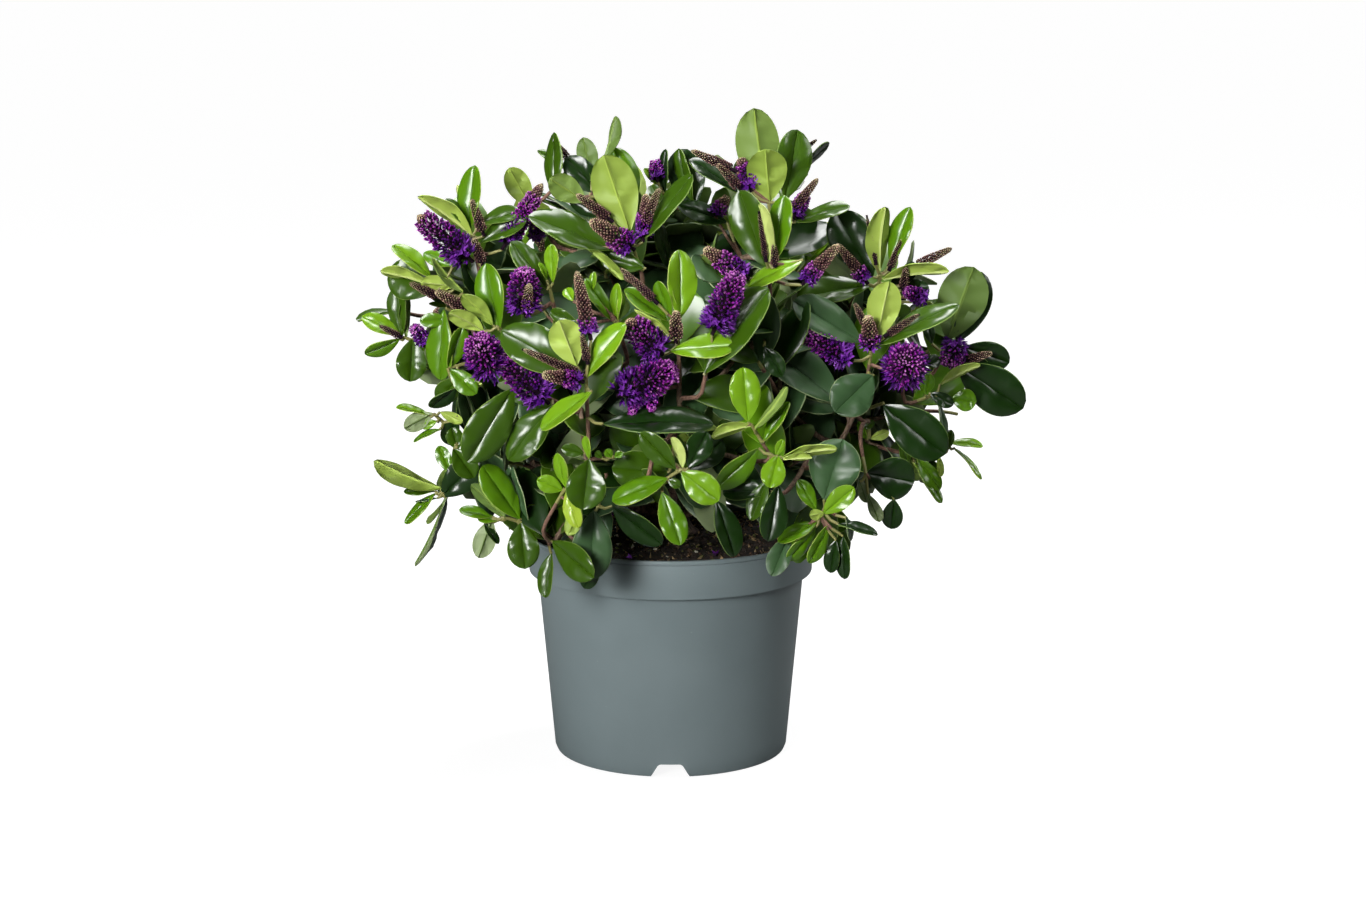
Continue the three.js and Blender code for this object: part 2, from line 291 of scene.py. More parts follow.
def combine(piece, tool, operation):
    """Joins tool to the piece or cuts it out, and removes the tool."""
    bpy.ops.object.select_all(action="DESELECT")
    piece.select_set(True)
    bpy.context.view_layer.objects.active = piece
    modifier = piece.modifiers.new(operation.lower(), "BOOLEAN")
    modifier.operation = operation
    modifier.solver = "MANIFOLD"
    modifier.object = tool
    bpy.ops.object.modifier_apply(modifier=modifier.name)
    bpy.data.objects.remove(tool)


pot = turned(
    "moulded_pot",
    soften(
        [
            (FLOOR_RING, 0, 0),
            (FOOT_RADIUS, 0, FOOT_ROUND),
            (PLAIN_RADIUS, PLAIN_ABOVE, WALL_ROUND),
            (WALL_TOP_RADIUS, SHOULDER_Z, SHOULDER_ROUND),
            (COLLAR_FOOT_RADIUS, SHOULDER_Z, CORNER_ROUND),
            (COLLAR_RADIUS, POT_HEIGHT - LIP_HEIGHT - LIP_CREASE, CREASE_EDGE),
            (COLLAR_RADIUS - LIP_CREASE, POT_HEIGHT - LIP_HEIGHT, CREASE_ROOT),
            (RIM_RADIUS, POT_HEIGHT - LIP_HEIGHT, CREASE_EDGE),
            (RIM_RADIUS, POT_HEIGHT, LIP_ROUND),
            (COLLAR_RADIUS - WALL, POT_HEIGHT, CORNER_ROUND),
            (COLLAR_FOOT_RADIUS - WALL, SHOULDER_Z + WALL, CORNER_ROUND),
            (WALL_TOP_RADIUS - WALL, SHOULDER_Z + WALL, CORNER_ROUND),
            (FOOT_RADIUS - WALL, WALL, CORNER_ROUND),
            (FLOOR_RING, WALL, 0),
        ]
    ),
    POT_SIDES,
)
notch_bearings = [2 * math.pi * i / NOTCHES for i in range(NOTCHES)]
wall_outline = [
    (FLOOR_RING, 0, 0),
    (FOOT_RADIUS - WALL / 4, 0, FOOT_ROUND),
    (PLAIN_RADIUS - WALL / 4, PLAIN_ABOVE, WALL_ROUND),
    (WALL_TOP_RADIUS - WALL / 4, SHOULDER_Z, 0),
]
for bearing in notch_bearings:
    lining = channel(bearing, WALL, FOOT_RADIUS)
    combine(lining, turned("wall_outline", soften(wall_outline), POT_SIDES), "INTERSECT")
    combine(pot, lining, "UNION")
for bearing in notch_bearings:
    combine(pot, channel(bearing, 0, RIM_RADIUS), "DIFFERENCE")
bpy.ops.object.shade_smooth_by_angle(angle=SMOOTH_BELOW)

# Moulded polypropylene: satin from the mould's fine texture, with faint clouds where the colour
# was not fully mixed and a little dried splash and dust, which show as paler specks.
pot_plastic, tree, surface = new_finish(
    "moulded_polypropylene", "#6f7d7f", roughness=0.5, ior=1.49, specular_ior_level=0.3
)
where = add_node(tree, "ShaderNodeTexCoord", {}).outputs["Object"]
clouds = add_node(tree, "ShaderNodeTexNoise", {"Vector": where, "Scale": 22.0, "Detail": 3.0})
dust = add_node(tree, "ShaderNodeTexVoronoi", {"Vector": where, "Scale": 130.0, "Randomness": 1.0})
speck = add_node(
    tree,
    "ShaderNodeMapRange",
    {"Value": dust.outputs["Distance"], "From Min": 0.03, "From Max": 0.09, "To Min": 1.0, "To Max": 0.0},
)
which = add_node(tree, "ShaderNodeMath", {0: dust.outputs["Color"], 1: 0.86}, operation="GREATER_THAN")
shown_speck = add_node(
    tree, "ShaderNodeMath", {0: speck.outputs[0], 1: which.outputs[0]}, operation="MULTIPLY"
)
tone = add_node(
    tree, "ShaderNodeMapRange", {"Value": clouds.outputs["Fac"], "From Min": 0.3, "From Max": 0.7}
)
body_colour = add_node(
    tree,
    "ShaderNodeMix",
    {"Factor": tone.outputs[0], 6: linear("#677375"), 7: linear("#6c787a")},
    data_type="RGBA",
)
speckled = add_node(
    tree,
    "ShaderNodeMix",
    {"Factor": shown_speck.outputs[0], 6: body_colour.outputs[2], 7: linear("#a3aca4")},
    data_type="RGBA",
)
tree.links.new(speckled.outputs[2], surface.inputs["Base Color"])
satin = add_node(
    tree,
    "ShaderNodeMapRange",
    {"Value": clouds.outputs["Fac"], "From Min": 0.3, "From Max": 0.7, "To Min": 0.46, "To Max": 0.56},
)
tree.links.new(satin.outputs[0], surface.inputs["Roughness"])
grain = add_node(tree, "ShaderNodeTexNoise", {"Vector": where, "Scale": 900.0, "Detail": 2.0})
relief = add_node(
    tree, "ShaderNodeBump", {"Height": grain.outputs["Fac"], "Strength": 0.12, "Distance": 0.0003}
)
tree.links.new(relief.outputs[0], surface.inputs["Normal"])
pot.data.materials.clear()
pot.data.materials.append(pot_plastic)
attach(pot, "root")
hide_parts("pot")

# ---- The compost ----
# Peat and bark compost, dark and damp, filling the pot to just below its rim. It is a crumbly bed
# with loose crumbs, chips of bark and a few white grains of perlite lying on it.

BED_SIDES = 96
BED_RING_STEP = 2.2
FIT_GAP = 0.4
BED_BELOW_RIM = 4.0
BED_MOUND = 3.0
LUMP_SIZE = 7.0
LUMP_HEIGHT = 4.5
CRUMB_SIZE = 2.4
CRUMB_HEIGHT = 1.8
CRUMBS = 2200
CRUMB_INSET = 2.5
CRUMBS_FROM = 0.02
CRUMB_RADII = (0.7, 1.8)
CRUMB_SQUASH = (0.5, 1.3)
CHIP_SHAPE = (2.4, 0.9, 0.7)
GRAIN_GROWN = 1.5
GRAIN_AT = (math.radians(-74), 60.3)
GRAIN_RADIUS = 1.6
BED_EDGE = 2.0
BED_SMOOTH = math.radians(60)
BED_RADIUS = COLLAR_FOOT_RADIUS - WALL - FIT_GAP
BED_Z = POT_HEIGHT - BED_BELOW_RIM
BED_FLOOR = 2 * WALL + NOTCH_HEIGHT + 2 * FIT_GAP
DROPPED_FROM = POT_HEIGHT + 20

bed_rings = [
    (FLOOR_RING, BED_FLOOR),
    (FOOT_RADIUS, BED_FLOOR),
    (WALL_TOP_RADIUS - WALL - FIT_GAP, SHOULDER_Z + WALL + FIT_GAP),
    (BED_RADIUS, SHOULDER_Z + WALL + FIT_GAP),
    (BED_RADIUS, BED_Z - BED_EDGE),
]
for step in range(int(BED_RADIUS / BED_RING_STEP)):
    inwards = step * BED_RING_STEP / BED_RADIUS
    bed_rings.append((BED_RADIUS * (1 - inwards), BED_Z + BED_MOUND * inwards))
bed = turned("compost_bed", bed_rings, BED_SIDES)

top = bed.vertex_groups.new(name="top")
top.add([v.index for v in bed.data.vertices if v.co.z > (BED_Z - BED_EDGE / 2) * MM], 1.0, "REPLACE")
for name, size, height in (("lumps", LUMP_SIZE, LUMP_HEIGHT), ("crumbs", CRUMB_SIZE, CRUMB_HEIGHT)):
    pattern = bpy.data.textures.new(name, "CLOUDS")
    pattern.noise_scale = size * MM
    rough = bed.modifiers.new(name, "DISPLACE")
    rough.texture = pattern
    rough.texture_coords = "GLOBAL"
    rough.direction = "Z"
    rough.strength = height * MM
    rough.vertex_group = "top"
    bpy.ops.object.modifier_apply(modifier=name)
bpy.ops.object.shade_smooth_by_angle(angle=BED_SMOOTH)

# Damp peat: nearly black, rough and without gloss, with reddish fibres showing as warm patches.
damp_peat, tree, surface = new_finish("damp_peat_compost", "#1c130e", roughness=0.92)
where = add_node(tree, "ShaderNodeTexCoord", {}).outputs["Object"]
fibre = add_node(tree, "ShaderNodeTexNoise", {"Vector": where, "Scale": 260.0, "Detail": 4.0})
peat = add_node(tree, "ShaderNodeValToRGB", {"Fac": fibre.outputs["Fac"]})
peat.color_ramp.elements[0].position = 0.38
peat.color_ramp.elements[0].color = linear("#0e0b08")
peat.color_ramp.elements[1].position = 0.68
peat.color_ramp.elements[1].color = linear("#38291c")
tree.links.new(peat.outputs["Color"], surface.inputs["Base Color"])
relief = add_node(
    tree, "ShaderNodeBump", {"Height": fibre.outputs["Fac"], "Strength": 0.8, "Distance": 0.0008}
)
tree.links.new(relief.outputs[0], surface.inputs["Normal"])
bed.data.materials.clear()
bed.data.materials.append(damp_peat)
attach(bed, "root")
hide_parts("compost")


def tree_of(piece):
    """What finds where a line meets this piece, in metres."""
    corners = [v.co.copy() for v in piece.data.vertices]
    return BVHTree.FromPolygons(corners, [tuple(p.vertices) for p in piece.data.polygons])


def matt(name, colour, **shader):
    """A finish of one plain colour, for crumbs, leaves and petals too small to carry a pattern."""
    return new_finish(name, colour, **shader)[0]


def repeated(faces, corners, count):
    """The faces of count copies of a form that has this many corners."""
    return [[c + copy * corners for c in face] for copy in range(count) for face in faces]


def copies(form, turns, places):
    """The points and faces of many copies of one small form, each turned and sized by its matrix."""
    points, faces = form
    made = np.einsum("nij,vj->nvi", turns, points) + places[:, None, :]
    return made.reshape(-1, 3), repeated(faces, len(points), len(places))


def joined(name, points, faces, finishes, worn):
    """One piece from points in millimetres, its faces, and the number of the finish each wears."""
    mesh = bpy.data.meshes.new(name)
    mesh.from_pydata((np.asarray(points) * MM).tolist(), [], faces)
    for finish in finishes:
        mesh.materials.append(finish)
    mesh.polygons.foreach_set("material_index", np.asarray(worn, dtype=np.int32))
    mesh.update()
    piece = bpy.data.objects.new(name, mesh)
    bpy.context.collection.objects.link(piece)
    bpy.ops.object.select_all(action="DESELECT")
    piece.select_set(True)
    bpy.context.view_layer.objects.active = piece
    return piece


def random_turns(dice, sizes):
    """Matrices that turn a form any way and give it these (x, y, z) sizes."""
    turns = np.linalg.qr(dice.normal(size=(len(sizes), 3, 3)))[0]
    turns[np.linalg.det(turns) < 0, :, 0] *= -1
    return turns * sizes[:, None, :]


# A crumb is a ball of eight faces, squashed and stretched as it is copied.
CRUMB = (
    np.array([(1, 0, 0), (0, 1, 0), (-1, 0, 0), (0, -1, 0), (0, 0, 1), (0, 0, -1)], float),
    [(0, 1, 4), (1, 2, 4), (2, 3, 4), (3, 0, 4), (1, 0, 5), (2, 1, 5), (3, 2, 5), (0, 3, 5)],
)
crumb_finishes = [
    matt("dry_peat_crumb", "#241a12", roughness=0.95),
    matt("bark_chip", "#463120", roughness=0.85),
    matt("weathered_bark_chip", "#86714f", roughness=0.85),
    matt("expanded_perlite", "#d2ccba", roughness=0.8),
    matt("moss_tuft", "#505222", roughness=0.9),
]
CRUMB_SHARES = (0.46, 0.27, 0.14, 0.01, 0.12)
WEATHERED, PERLITE = 2, 3
bed_tree = tree_of(bed)


def on_bed(x, y):
    """The place on the compost's surface under this point."""
    above = Vector((x, y, DROPPED_FROM)) * MM
    return bed_tree.ray_cast(above, Vector((0, 0, -1)))[0] / MM


dice = np.random.default_rng(11)
bearings = dice.uniform(0, 2 * math.pi, CRUMBS)
reaches = (BED_RADIUS - CRUMB_INSET) * np.sqrt(dice.uniform(CRUMBS_FROM, 1, CRUMBS))
bearings[0], reaches[0] = GRAIN_AT
spots = zip(np.cos(bearings) * reaches, np.sin(bearings) * reaches)
places = [on_bed(*spot) for spot in spots]
sizes = dice.uniform(*CRUMB_RADII, (CRUMBS, 1)) * dice.uniform(*CRUMB_SQUASH, (CRUMBS, 3))
kinds = dice.choice(len(CRUMB_SHARES), CRUMBS, p=CRUMB_SHARES)
sizes[kinds == WEATHERED] *= CHIP_SHAPE
sizes[kinds == PERLITE] *= GRAIN_GROWN
kinds[0], sizes[0] = PERLITE, GRAIN_RADIUS
points, faces = copies(CRUMB, random_turns(dice, sizes), np.array(places))
crumbs = joined("compost_crumbs", points, faces, crumb_finishes, np.repeat(kinds, len(CRUMB[1])))
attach(crumbs, "root")
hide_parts("compost")

# ---- The stem ----
# The short woody stem of a hebe, as thick as a thumb, flaring where it enters the compost. Its
# bark is grey-brown, split lengthways into shallow strips.

STEM_SIDES = 40
STEM_FLARE_RADIUS = 19.0
STEM_RADIUS = 12.5
STEM_TOP_RADIUS = 10.5
STEM_FLARE_HEIGHT = 11.0
STEM_RING_STEP = 1.6
STEM_FOOT_SHARE = 0.4
FLARE_FALLS = 3
STEM_CAP = ((0.7, 1.5), (0.2, 2.0))
STRIP_WIDTH = 3.2
STRIP_DEPTH = 1.3
STRIP_STRETCH = 7

stem_low, stem_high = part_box("stem")
STEM_FOOT_Z = stem_low.z / MM
STEM_HEIGHT = stem_high.z / MM - STEM_FOOT_Z

stem_rings = [(STEM_FLARE_RADIUS * STEM_FOOT_SHARE, STEM_FOOT_Z)]
for step in range(int(STEM_HEIGHT / STEM_RING_STEP) + 1):
    rise = step * STEM_RING_STEP
    flare = (STEM_FLARE_RADIUS - STEM_RADIUS) * math.exp(-FLARE_FALLS * rise / STEM_FLARE_HEIGHT)
    taper = (STEM_RADIUS - STEM_TOP_RADIUS) * rise / STEM_HEIGHT
    stem_rings.append((STEM_RADIUS + flare - taper, STEM_FOOT_Z + rise))
for share, rise in STEM_CAP:
    stem_rings.append((STEM_TOP_RADIUS * share, STEM_FOOT_Z + STEM_HEIGHT + rise))
stem = turned("bark_stem", stem_rings, STEM_SIDES)

split = bpy.data.textures.new("bark_strips", "CLOUDS")
split.noise_scale = STRIP_WIDTH * MM
split.noise_depth = 2


def carve_bark(piece, depth, grain):
    """Raises and sinks a limb's surface in strips that run along grain, a stretched empty."""
    rough = piece.modifiers.new("bark", "DISPLACE")
    rough.texture = split
    rough.texture_coords = "OBJECT"
    rough.texture_coords_object = grain
    rough.strength = depth * MM
    bpy.ops.object.modifier_apply(modifier="bark")
    bpy.ops.object.shade_smooth()


upright_grain = bpy.data.objects.new("upright_grain", None)
upright_grain.scale = (1, 1, STRIP_STRETCH)
bpy.context.collection.objects.link(upright_grain)
bpy.context.view_layer.update()
carve_bark(stem, STRIP_DEPTH, upright_grain)


def bark_finish(name, ridge, furrow, strip_width):
    """Bark: dry and rough, paler on its ridges and darker in its furrows."""
    material, tree, surface = new_finish(name, ridge, roughness=0.85)
    where = add_node(tree, "ShaderNodeTexCoord", {}).outputs["Object"]
    longways = add_node(tree, "ShaderNodeMapping", {"Vector": where, "Scale": (1.0, 1.0, 0.3)})
    strips = add_node(
        tree,
        "ShaderNodeTexNoise",
        {"Vector": longways.outputs[0], "Scale": 1000.0 / strip_width, "Detail": 5.0, "Roughness": 0.65},
    )
    tones = add_node(tree, "ShaderNodeValToRGB", {"Fac": strips.outputs["Fac"]})
    tones.color_ramp.elements[0].position = 0.36
    tones.color_ramp.elements[0].color = linear(furrow)
    tones.color_ramp.elements[1].position = 0.62
    tones.color_ramp.elements[1].color = linear(ridge)
    tree.links.new(tones.outputs["Color"], surface.inputs["Base Color"])
    relief = add_node(
        tree, "ShaderNodeBump", {"Height": strips.outputs["Fac"], "Strength": 0.7, "Distance": 0.0006}
    )
    tree.links.new(relief.outputs[0], surface.inputs["Normal"])
    return material


old_bark = bark_finish("split_hebe_bark", "#7d6756", "#33261e", STRIP_WIDTH)
stem.data.materials.clear()
stem.data.materials.append(old_bark)
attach(stem, "root")
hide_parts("stem")

# ---- The boughs ----
# Seventeen tapering boughs that leave the stem and climb outwards, one into the middle of each mass
# of foliage. Their bark is thinner and smoother than the stem's, carved in shallow strips.

# A tier's boughs end so far out and up, leave the stem at this rise and lean out this early.
Tier = namedtuple("Tier", "out up radius rise lean")
TIERS = {
    "crest": Tier(48, 326, 3.8, 38, 0.10),
    "shoulder": Tier(108, 284, 3.6, 28, 0.28),
    "skirt": Tier(120, 208, 3.2, 14, 0.60),
}
# A mass is its tier, its bearing in degrees, and how much higher than its tier it ends.
MASSES = {
    "crest_left": ("crest", 285, 0),
    "crest_right": ("crest", 65, 0),
    "crest_back": ("crest", 175, 0),
    "shoulder_front_left": ("shoulder", 330, 0),
    "shoulder_front_right": ("shoulder", 28, 0),
    "shoulder_right": ("shoulder", 88, 0),
    "shoulder_back_right": ("shoulder", 150, 0),
    "shoulder_back_left": ("shoulder", 212, 0),
    "shoulder_left": ("shoulder", 272, 0),
    "skirt_front": ("skirt", 2, 18),
    "skirt_front_right": ("skirt", 46, 6),
    "skirt_right": ("skirt", 92, 8),
    "skirt_back_right": ("skirt", 138, 0),
    "skirt_back": ("skirt", 182, 0),
    "skirt_back_left": ("skirt", 226, 0),
    "skirt_left": ("skirt", 268, 0),
    "skirt_front_left": ("skirt", 314, 0),
}
BOUGH_TIP = 0.62
BOUGH_ROOTED = 4.0
BOUGH_STEPS = 48
SCAR_SPACING = 0.55


def outwards(bearing):
    """The level direction of a bearing, which starts at the front and turns to the right."""
    turn = math.radians(bearing)
    return np.array((math.sin(turn), -math.cos(turn), 0.0))


def bough_line(mass):
    """The foot, the bend and the end of a mass's bough."""
    tier_name, bearing, lift = MASSES[mass]
    tier = TIERS[tier_name]
    way = outwards(bearing)
    rise = STEM_FOOT_Z + tier.rise
    foot = way * STEM_TOP_RADIUS / 2 + (0, 0, rise - BOUGH_ROOTED)
    bend = way * tier.out * tier.lean + (0, 0, (rise + tier.up) / 2)
    end = way * tier.out + (0, 0, tier.up + lift)
    return foot, bend, end


def along_bough(mass, share):
    """The point at this share of a mass's bough, and the way the bough runs there."""
    foot, bend, end = bough_line(mass)
    point = foot * (1 - share) ** 2 + bend * 2 * share * (1 - share) + end * share**2
    way = (bend - foot) * (1 - share) + (end - bend) * share
    return point, way / np.linalg.norm(way)


young_bark = bark_finish("smooth_hebe_bark", "#8a6f5d", "#4a352b", 2.0)

for mass in MASSES:
    foot, bend, end = bough_line(mass)
    radius = TIERS[MASSES[mass][0]].radius
    bpy.ops.object.select_all(action="DESELECT")
    bpy.ops.curve.primitive_bezier_curve_add()
    bough = bpy.context.object
    bough.name = f"bark_bough_{mass}"
    line = bough.data
    line.bevel_depth = MM
    line.bevel_resolution = 4
    line.use_fill_caps = True
    start, finish = line.splines[0].bezier_points
    line.splines[0].resolution_u = BOUGH_STEPS
    for point, place, reach in ((start, foot, radius), (finish, end, radius * BOUGH_TIP)):
        point.handle_left_type = "FREE"
        point.handle_right_type = "FREE"
        point.co = Vector(place) * MM
        point.radius = reach
    start.handle_right = Vector(foot + (bend - foot) * 2 / 3) * MM
    start.handle_left = Vector(foot - (bend - foot) * 2 / 3) * MM
    finish.handle_left = Vector(end + (bend - end) * 2 / 3) * MM
    finish.handle_right = Vector(end - (bend - end) * 2 / 3) * MM
    bpy.ops.object.convert(target="MESH")
    bpy.ops.object.transform_apply(location=True, rotation=True, scale=True)
    bpy.ops.object.mode_set(mode="EDIT")
    bpy.ops.mesh.select_all(action="SELECT")
    bpy.ops.mesh.subdivide(number_cuts=1)
    bpy.ops.object.mode_set(mode="OBJECT")
    carve_bark(bough, SCAR_SPACING, upright_grain)
    bough.data.materials.clear()
    bough.data.materials.append(young_bark)
    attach(bough, "root")
    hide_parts(f"bough_{mass}")
bpy.data.objects.remove(upright_grain)

# ---- The leaf ----
# A hebe leaf is thick, leathery and untoothed, broadest past its middle, with a blunt tip and no
# stalk to speak of. Above, it is quilted between its veins, with its midrib sunk in a groove; below,
# the midrib stands proud as a keel.

Leaf = namedtuple("Leaf", "base along face length width bend fold twist phase tone")
LeafForm = namedtuple("LeafForm", "at half across below faces parts points quilted")

WIDEST_AT = 0.56
FOOT_CURVE, FOOT_FULL = 1.7, 0.9
TIP_CURVE, TIP_FULL = 2.3, 0.62
ROWS_FROM, ROWS_TO = 0.03, 0.96
EDGE_INSET = 0.03
FULL_THICK_FROM = 14.0
BLADE_THICK = 0.5
KEEL_THICK = 0.9
GROOVE_DEPTH = 0.5
DOME = 0.09
EDGE_WAVE = 0.06
EDGE_WAVES = 1.2
EDGE_SHIFT = 2.0
PUCKERS = 3.4
PUCKER_HEIGHT = 0.075
PUCKER_SHIFT = 1.9
LONG_PUCKER, LONG_PUCKER_RATE = 0.8, 0.45
VEIN_SLANT = 0.9
KEEL_HALF = 0.07
STRAIGHTEST = 0.01
UPPER, PALE, BACK, KEEL = range(4)


def outline(at):
    """How wide a leaf is at this share of its length: a wedge at the foot, round at the tip."""
    toward_foot = (1 - np.clip((WIDEST_AT - at) / WIDEST_AT, 0, 1) ** FOOT_CURVE) ** FOOT_FULL
    toward_tip = (1 - np.clip((at - WIDEST_AT) / (1 - WIDEST_AT), 0, 1) ** TIP_CURVE) ** TIP_FULL
    return np.where(at < WIDEST_AT, toward_foot, toward_tip)


def leaf_form(rows, above, below, quilted):
    """A leaf's mesh: rows of points that go round from left to right above, then back below."""
    at = np.linspace(ROWS_FROM, ROWS_TO, rows)
    under = [KEEL if abs(a + b) / 2 < KEEL_HALF else BACK for a, b in zip(below, below[1:])]
    parts_round = [UPPER] * (len(above) - 1) + [PALE] + under + [PALE]
    points = rows * len(parts_round) + 2
    last = (rows - 1) * len(parts_round)
    faces, parts = [], []
    for column, part in enumerate(parts_round):
        after = (column + 1) % len(parts_round)
        faces += [(points - 2, after, column), (last + column, last + after, points - 1)]
        parts += [part, part]
        for row in range(0, last, len(parts_round)):
            higher = row + len(parts_round)
            corners = (row + column, row + after, higher + after, higher + column)
            faces.append(corners if column < len(above) else (*corners[1:], corners[0]))
            parts.append(part)
    across = np.array([*above, *below], float)
    across[[0, len(above) - 1]] *= 1 - EDGE_INSET
    return LeafForm(at, outline(at), across, len(above), faces, np.array(parts), points, quilted)


# The broad leaves that show their faces have more points to carry the quilting than the rest.
BROAD_ACROSS = (-1, -0.74, -0.42, -KEEL_HALF, 0, KEEL_HALF, 0.42, 0.74, 1)
BROAD = leaf_form(15, BROAD_ACROSS, BROAD_ACROSS[::-1], 1.0)
CREASED = BROAD._replace(quilted=1.7)
PLAIN = leaf_form(7, (-1, -0.45, 0, 0.45, 1), (1, 0, -1), 0.4)


def leaf_points(leaves, form):
    """The points of many leaves, each curved along its length, folded on its rib and twisted."""
    column = {name: np.array([getattr(leaf, name) for leaf in leaves]) for name in Leaf._fields[:-1]}
    base, along, face = column["base"], column["along"], column["face"]
    side = np.cross(along, face)
    at = np.concatenate([form.at, (0.0, 1.0)])
    bend = np.where(np.abs(column["bend"]) < STRAIGHTEST, STRAIGHTEST, column["bend"])[:, None]
    length = column["length"][:, None]
    turn = bend * at
    run = length * np.sin(turn) / bend
    drop = length * (1 - np.cos(turn)) / bend
    spine = base[:, None] + along[:, None] * run[..., None] - face[:, None] * drop[..., None]
    up = face[:, None] * np.cos(turn)[..., None] + along[:, None] * np.sin(turn)[..., None]
    twist = (column["twist"][:, None] * at)[..., None]
    across = side[:, None] * np.cos(twist) + up * np.sin(twist)
    lift = up * np.cos(twist) - side[:, None] * np.sin(twist)

    u = form.across[None, None, :]
    v = form.at[None, :, None]
    phase = column["phase"][:, None, None]
    half = (column["width"][:, None] / 2 * form.half)[..., None]
    thick = np.minimum(1, column["width"] / FULL_THICK_FROM)[:, None, None]
    slope = np.tan(column["fold"])[:, None, None] * np.abs(u)
    dome = DOME * np.sin(math.pi * np.abs(u))
    course = 2 * math.pi * (PUCKERS * v - VEIN_SLANT * np.abs(u)) + 3 * phase + PUCKER_SHIFT * (u > 0)
    bulge = PUCKER_HEIGHT * form.quilted * np.sin(math.pi * np.abs(u))
    quilt = bulge * (np.sin(course) + LONG_PUCKER * np.sin(LONG_PUCKER_RATE * course + phase))
    edge_course = 2 * math.pi * EDGE_WAVES * v + phase + EDGE_SHIFT * (u > 0)
    wave = EDGE_WAVE * np.abs(u) ** 3 * np.sin(edge_course)
    height = half * (slope + dome + quilt + wave)
    rib = u == 0
    height = np.where(rib, -GROOVE_DEPTH * thick, height)
    below = np.arange(len(form.across)) >= form.below
    depth = np.where(rib, KEEL_THICK, BLADE_THICK) * thick
    height = np.where(below, height - depth, height)
    rows = slice(0, len(form.at))
    points = (
        spine[:, rows, None]
        + across[:, rows, None] * (u * half)[..., None]
        + lift[:, rows, None] * height[..., None]
    )
    return np.concatenate([points.reshape(len(leaves), -1, 3), spine[:, len(form.at) :]], axis=1)


# Leaf blades: waxy and glossy above, so soft lamps lie on them as broad pale lights; the backs are
# matt and paler. A leaf is yellow-green when young and darkens to blue-green with age. The darker
# tones are also dealt as painted shade to leaves that stand in shade, and the greyer old tone as
# painted sheen to a few dark glossy leaves.
LEAF_TONES = {
    "budding": ("#8aa22c", "#a9b766"),
    "young": ("#648c12", "#98ae4a"),
    "fresh": ("#4a7208", "#82983c"),
    "grown": ("#304c06", "#6b833a"),
    "deep": ("#122a06", "#566e30"),
    "old": ("#35502f", "#7d8c62"),
}
TONE_ORDER = list(LEAF_TONES)
GLOSS = {"roughness": 0.28, "ior": 1.5, "specular_ior_level": 0.42}
DULLED = {"roughness": 0.4, "ior": 1.5, "specular_ior_level": 0.36}
leaf_finishes = []
for tone, (above, below) in LEAF_TONES.items():
    leaf_finishes.append(matt(f"waxy_leaf_{tone}", above, **(DULLED if tone == "old" else GLOSS)))
    leaf_finishes.append(matt(f"matt_leaf_back_{tone}", below, roughness=0.55, ior=1.4))


def leaf_wear(leaves, form):
    """The finish of every face of these leaves."""
    own = np.array([TONE_ORDER.index(leaf.tone) for leaf in leaves])[:, None]
    paler = np.maximum(own - 1, 0)
    worn = np.where(form.parts == UPPER, own * 2, own * 2 + 1)
    return np.where(form.parts == KEEL, paler * 2 + 1, worn).ravel()


# ---- The flower spike ----
# Racemes stand in the axils of the upper leaves. Tight mauve buds in spirals open from the foot up
# into violet florets with four pointed lobes, which make a bottle-brush.

Spike = namedtuple("Spike", "foot way length open_share width")

GOLDEN_TURN = math.pi * (3 - math.sqrt(5))
BARE_STALK = 0.1
STALK_RINGS = 14
STALK_RADIUS, STALK_TAPER = 1.3, 0.6
CORE = 0.21
CORE_TAPER = 0.4
BUD_RADIUS, BUD_LENGTH = 0.07, 0.4
BUDS_WIDEST = 11.0
CLUB_RADIUS = 0.76
STAR_RADIUS = 1.2
STAR_SHARE = 0.25
FLORET_LENGTH = 0.38
FLORET_LEAST = 4.0
WOUND_LEAST = 6
ROUNDED_FROM, ROUNDED_BY = 0.85, 0.45
LEANS_UP = 1.6
SAG = 0.04
BARELY_OPEN, ALL_OPEN = 0.05, 0.95
BLOOM_ENDS = 0.05
PALER_UP, PALER_STRAY, PALER_START = 2.4, 0.6, 0.4


def ring(corners, radius, height, start=0.0):
    """The points of a small ring of a bud or floret."""
    angles = [2 * math.pi * (i + start) / corners for i in range(corners)]
    return [(radius * math.cos(angle), radius * math.sin(angle), height) for angle in angles]


# A bud is a blunt spindle; a club is a floret about to open, a thin tube with a swollen head. Each is
# a foot, two rings of four points and a tip, and its parts are its body, near black as painted shade,
# its neck and its tip, paler in part as painted highlight.
SPINDLE_FACES = (
    [(0, (i + 1) % 4 + 1, i + 1) for i in range(4)]
    + [(i + 1, (i + 1) % 4 + 1, (i + 1) % 4 + 5, i + 5) for i in range(4)]
    + [(i + 5, (i + 1) % 4 + 5, 9) for i in range(4)]
)
SPINDLE_PARTS = [0] * 4 + [1] * 4 + [2] * 4
BUD = (np.array([(0, 0, 0), *ring(4, 1, 0.5), *ring(4, 0.8, 0.82), (0, 0, 1)]), SPINDLE_FACES)
CLUB = (np.array([(0, 0, 0), *ring(4, 0.35, 0.45), *ring(4, 1, 0.84), (0, 0, 1)]), SPINDLE_FACES)

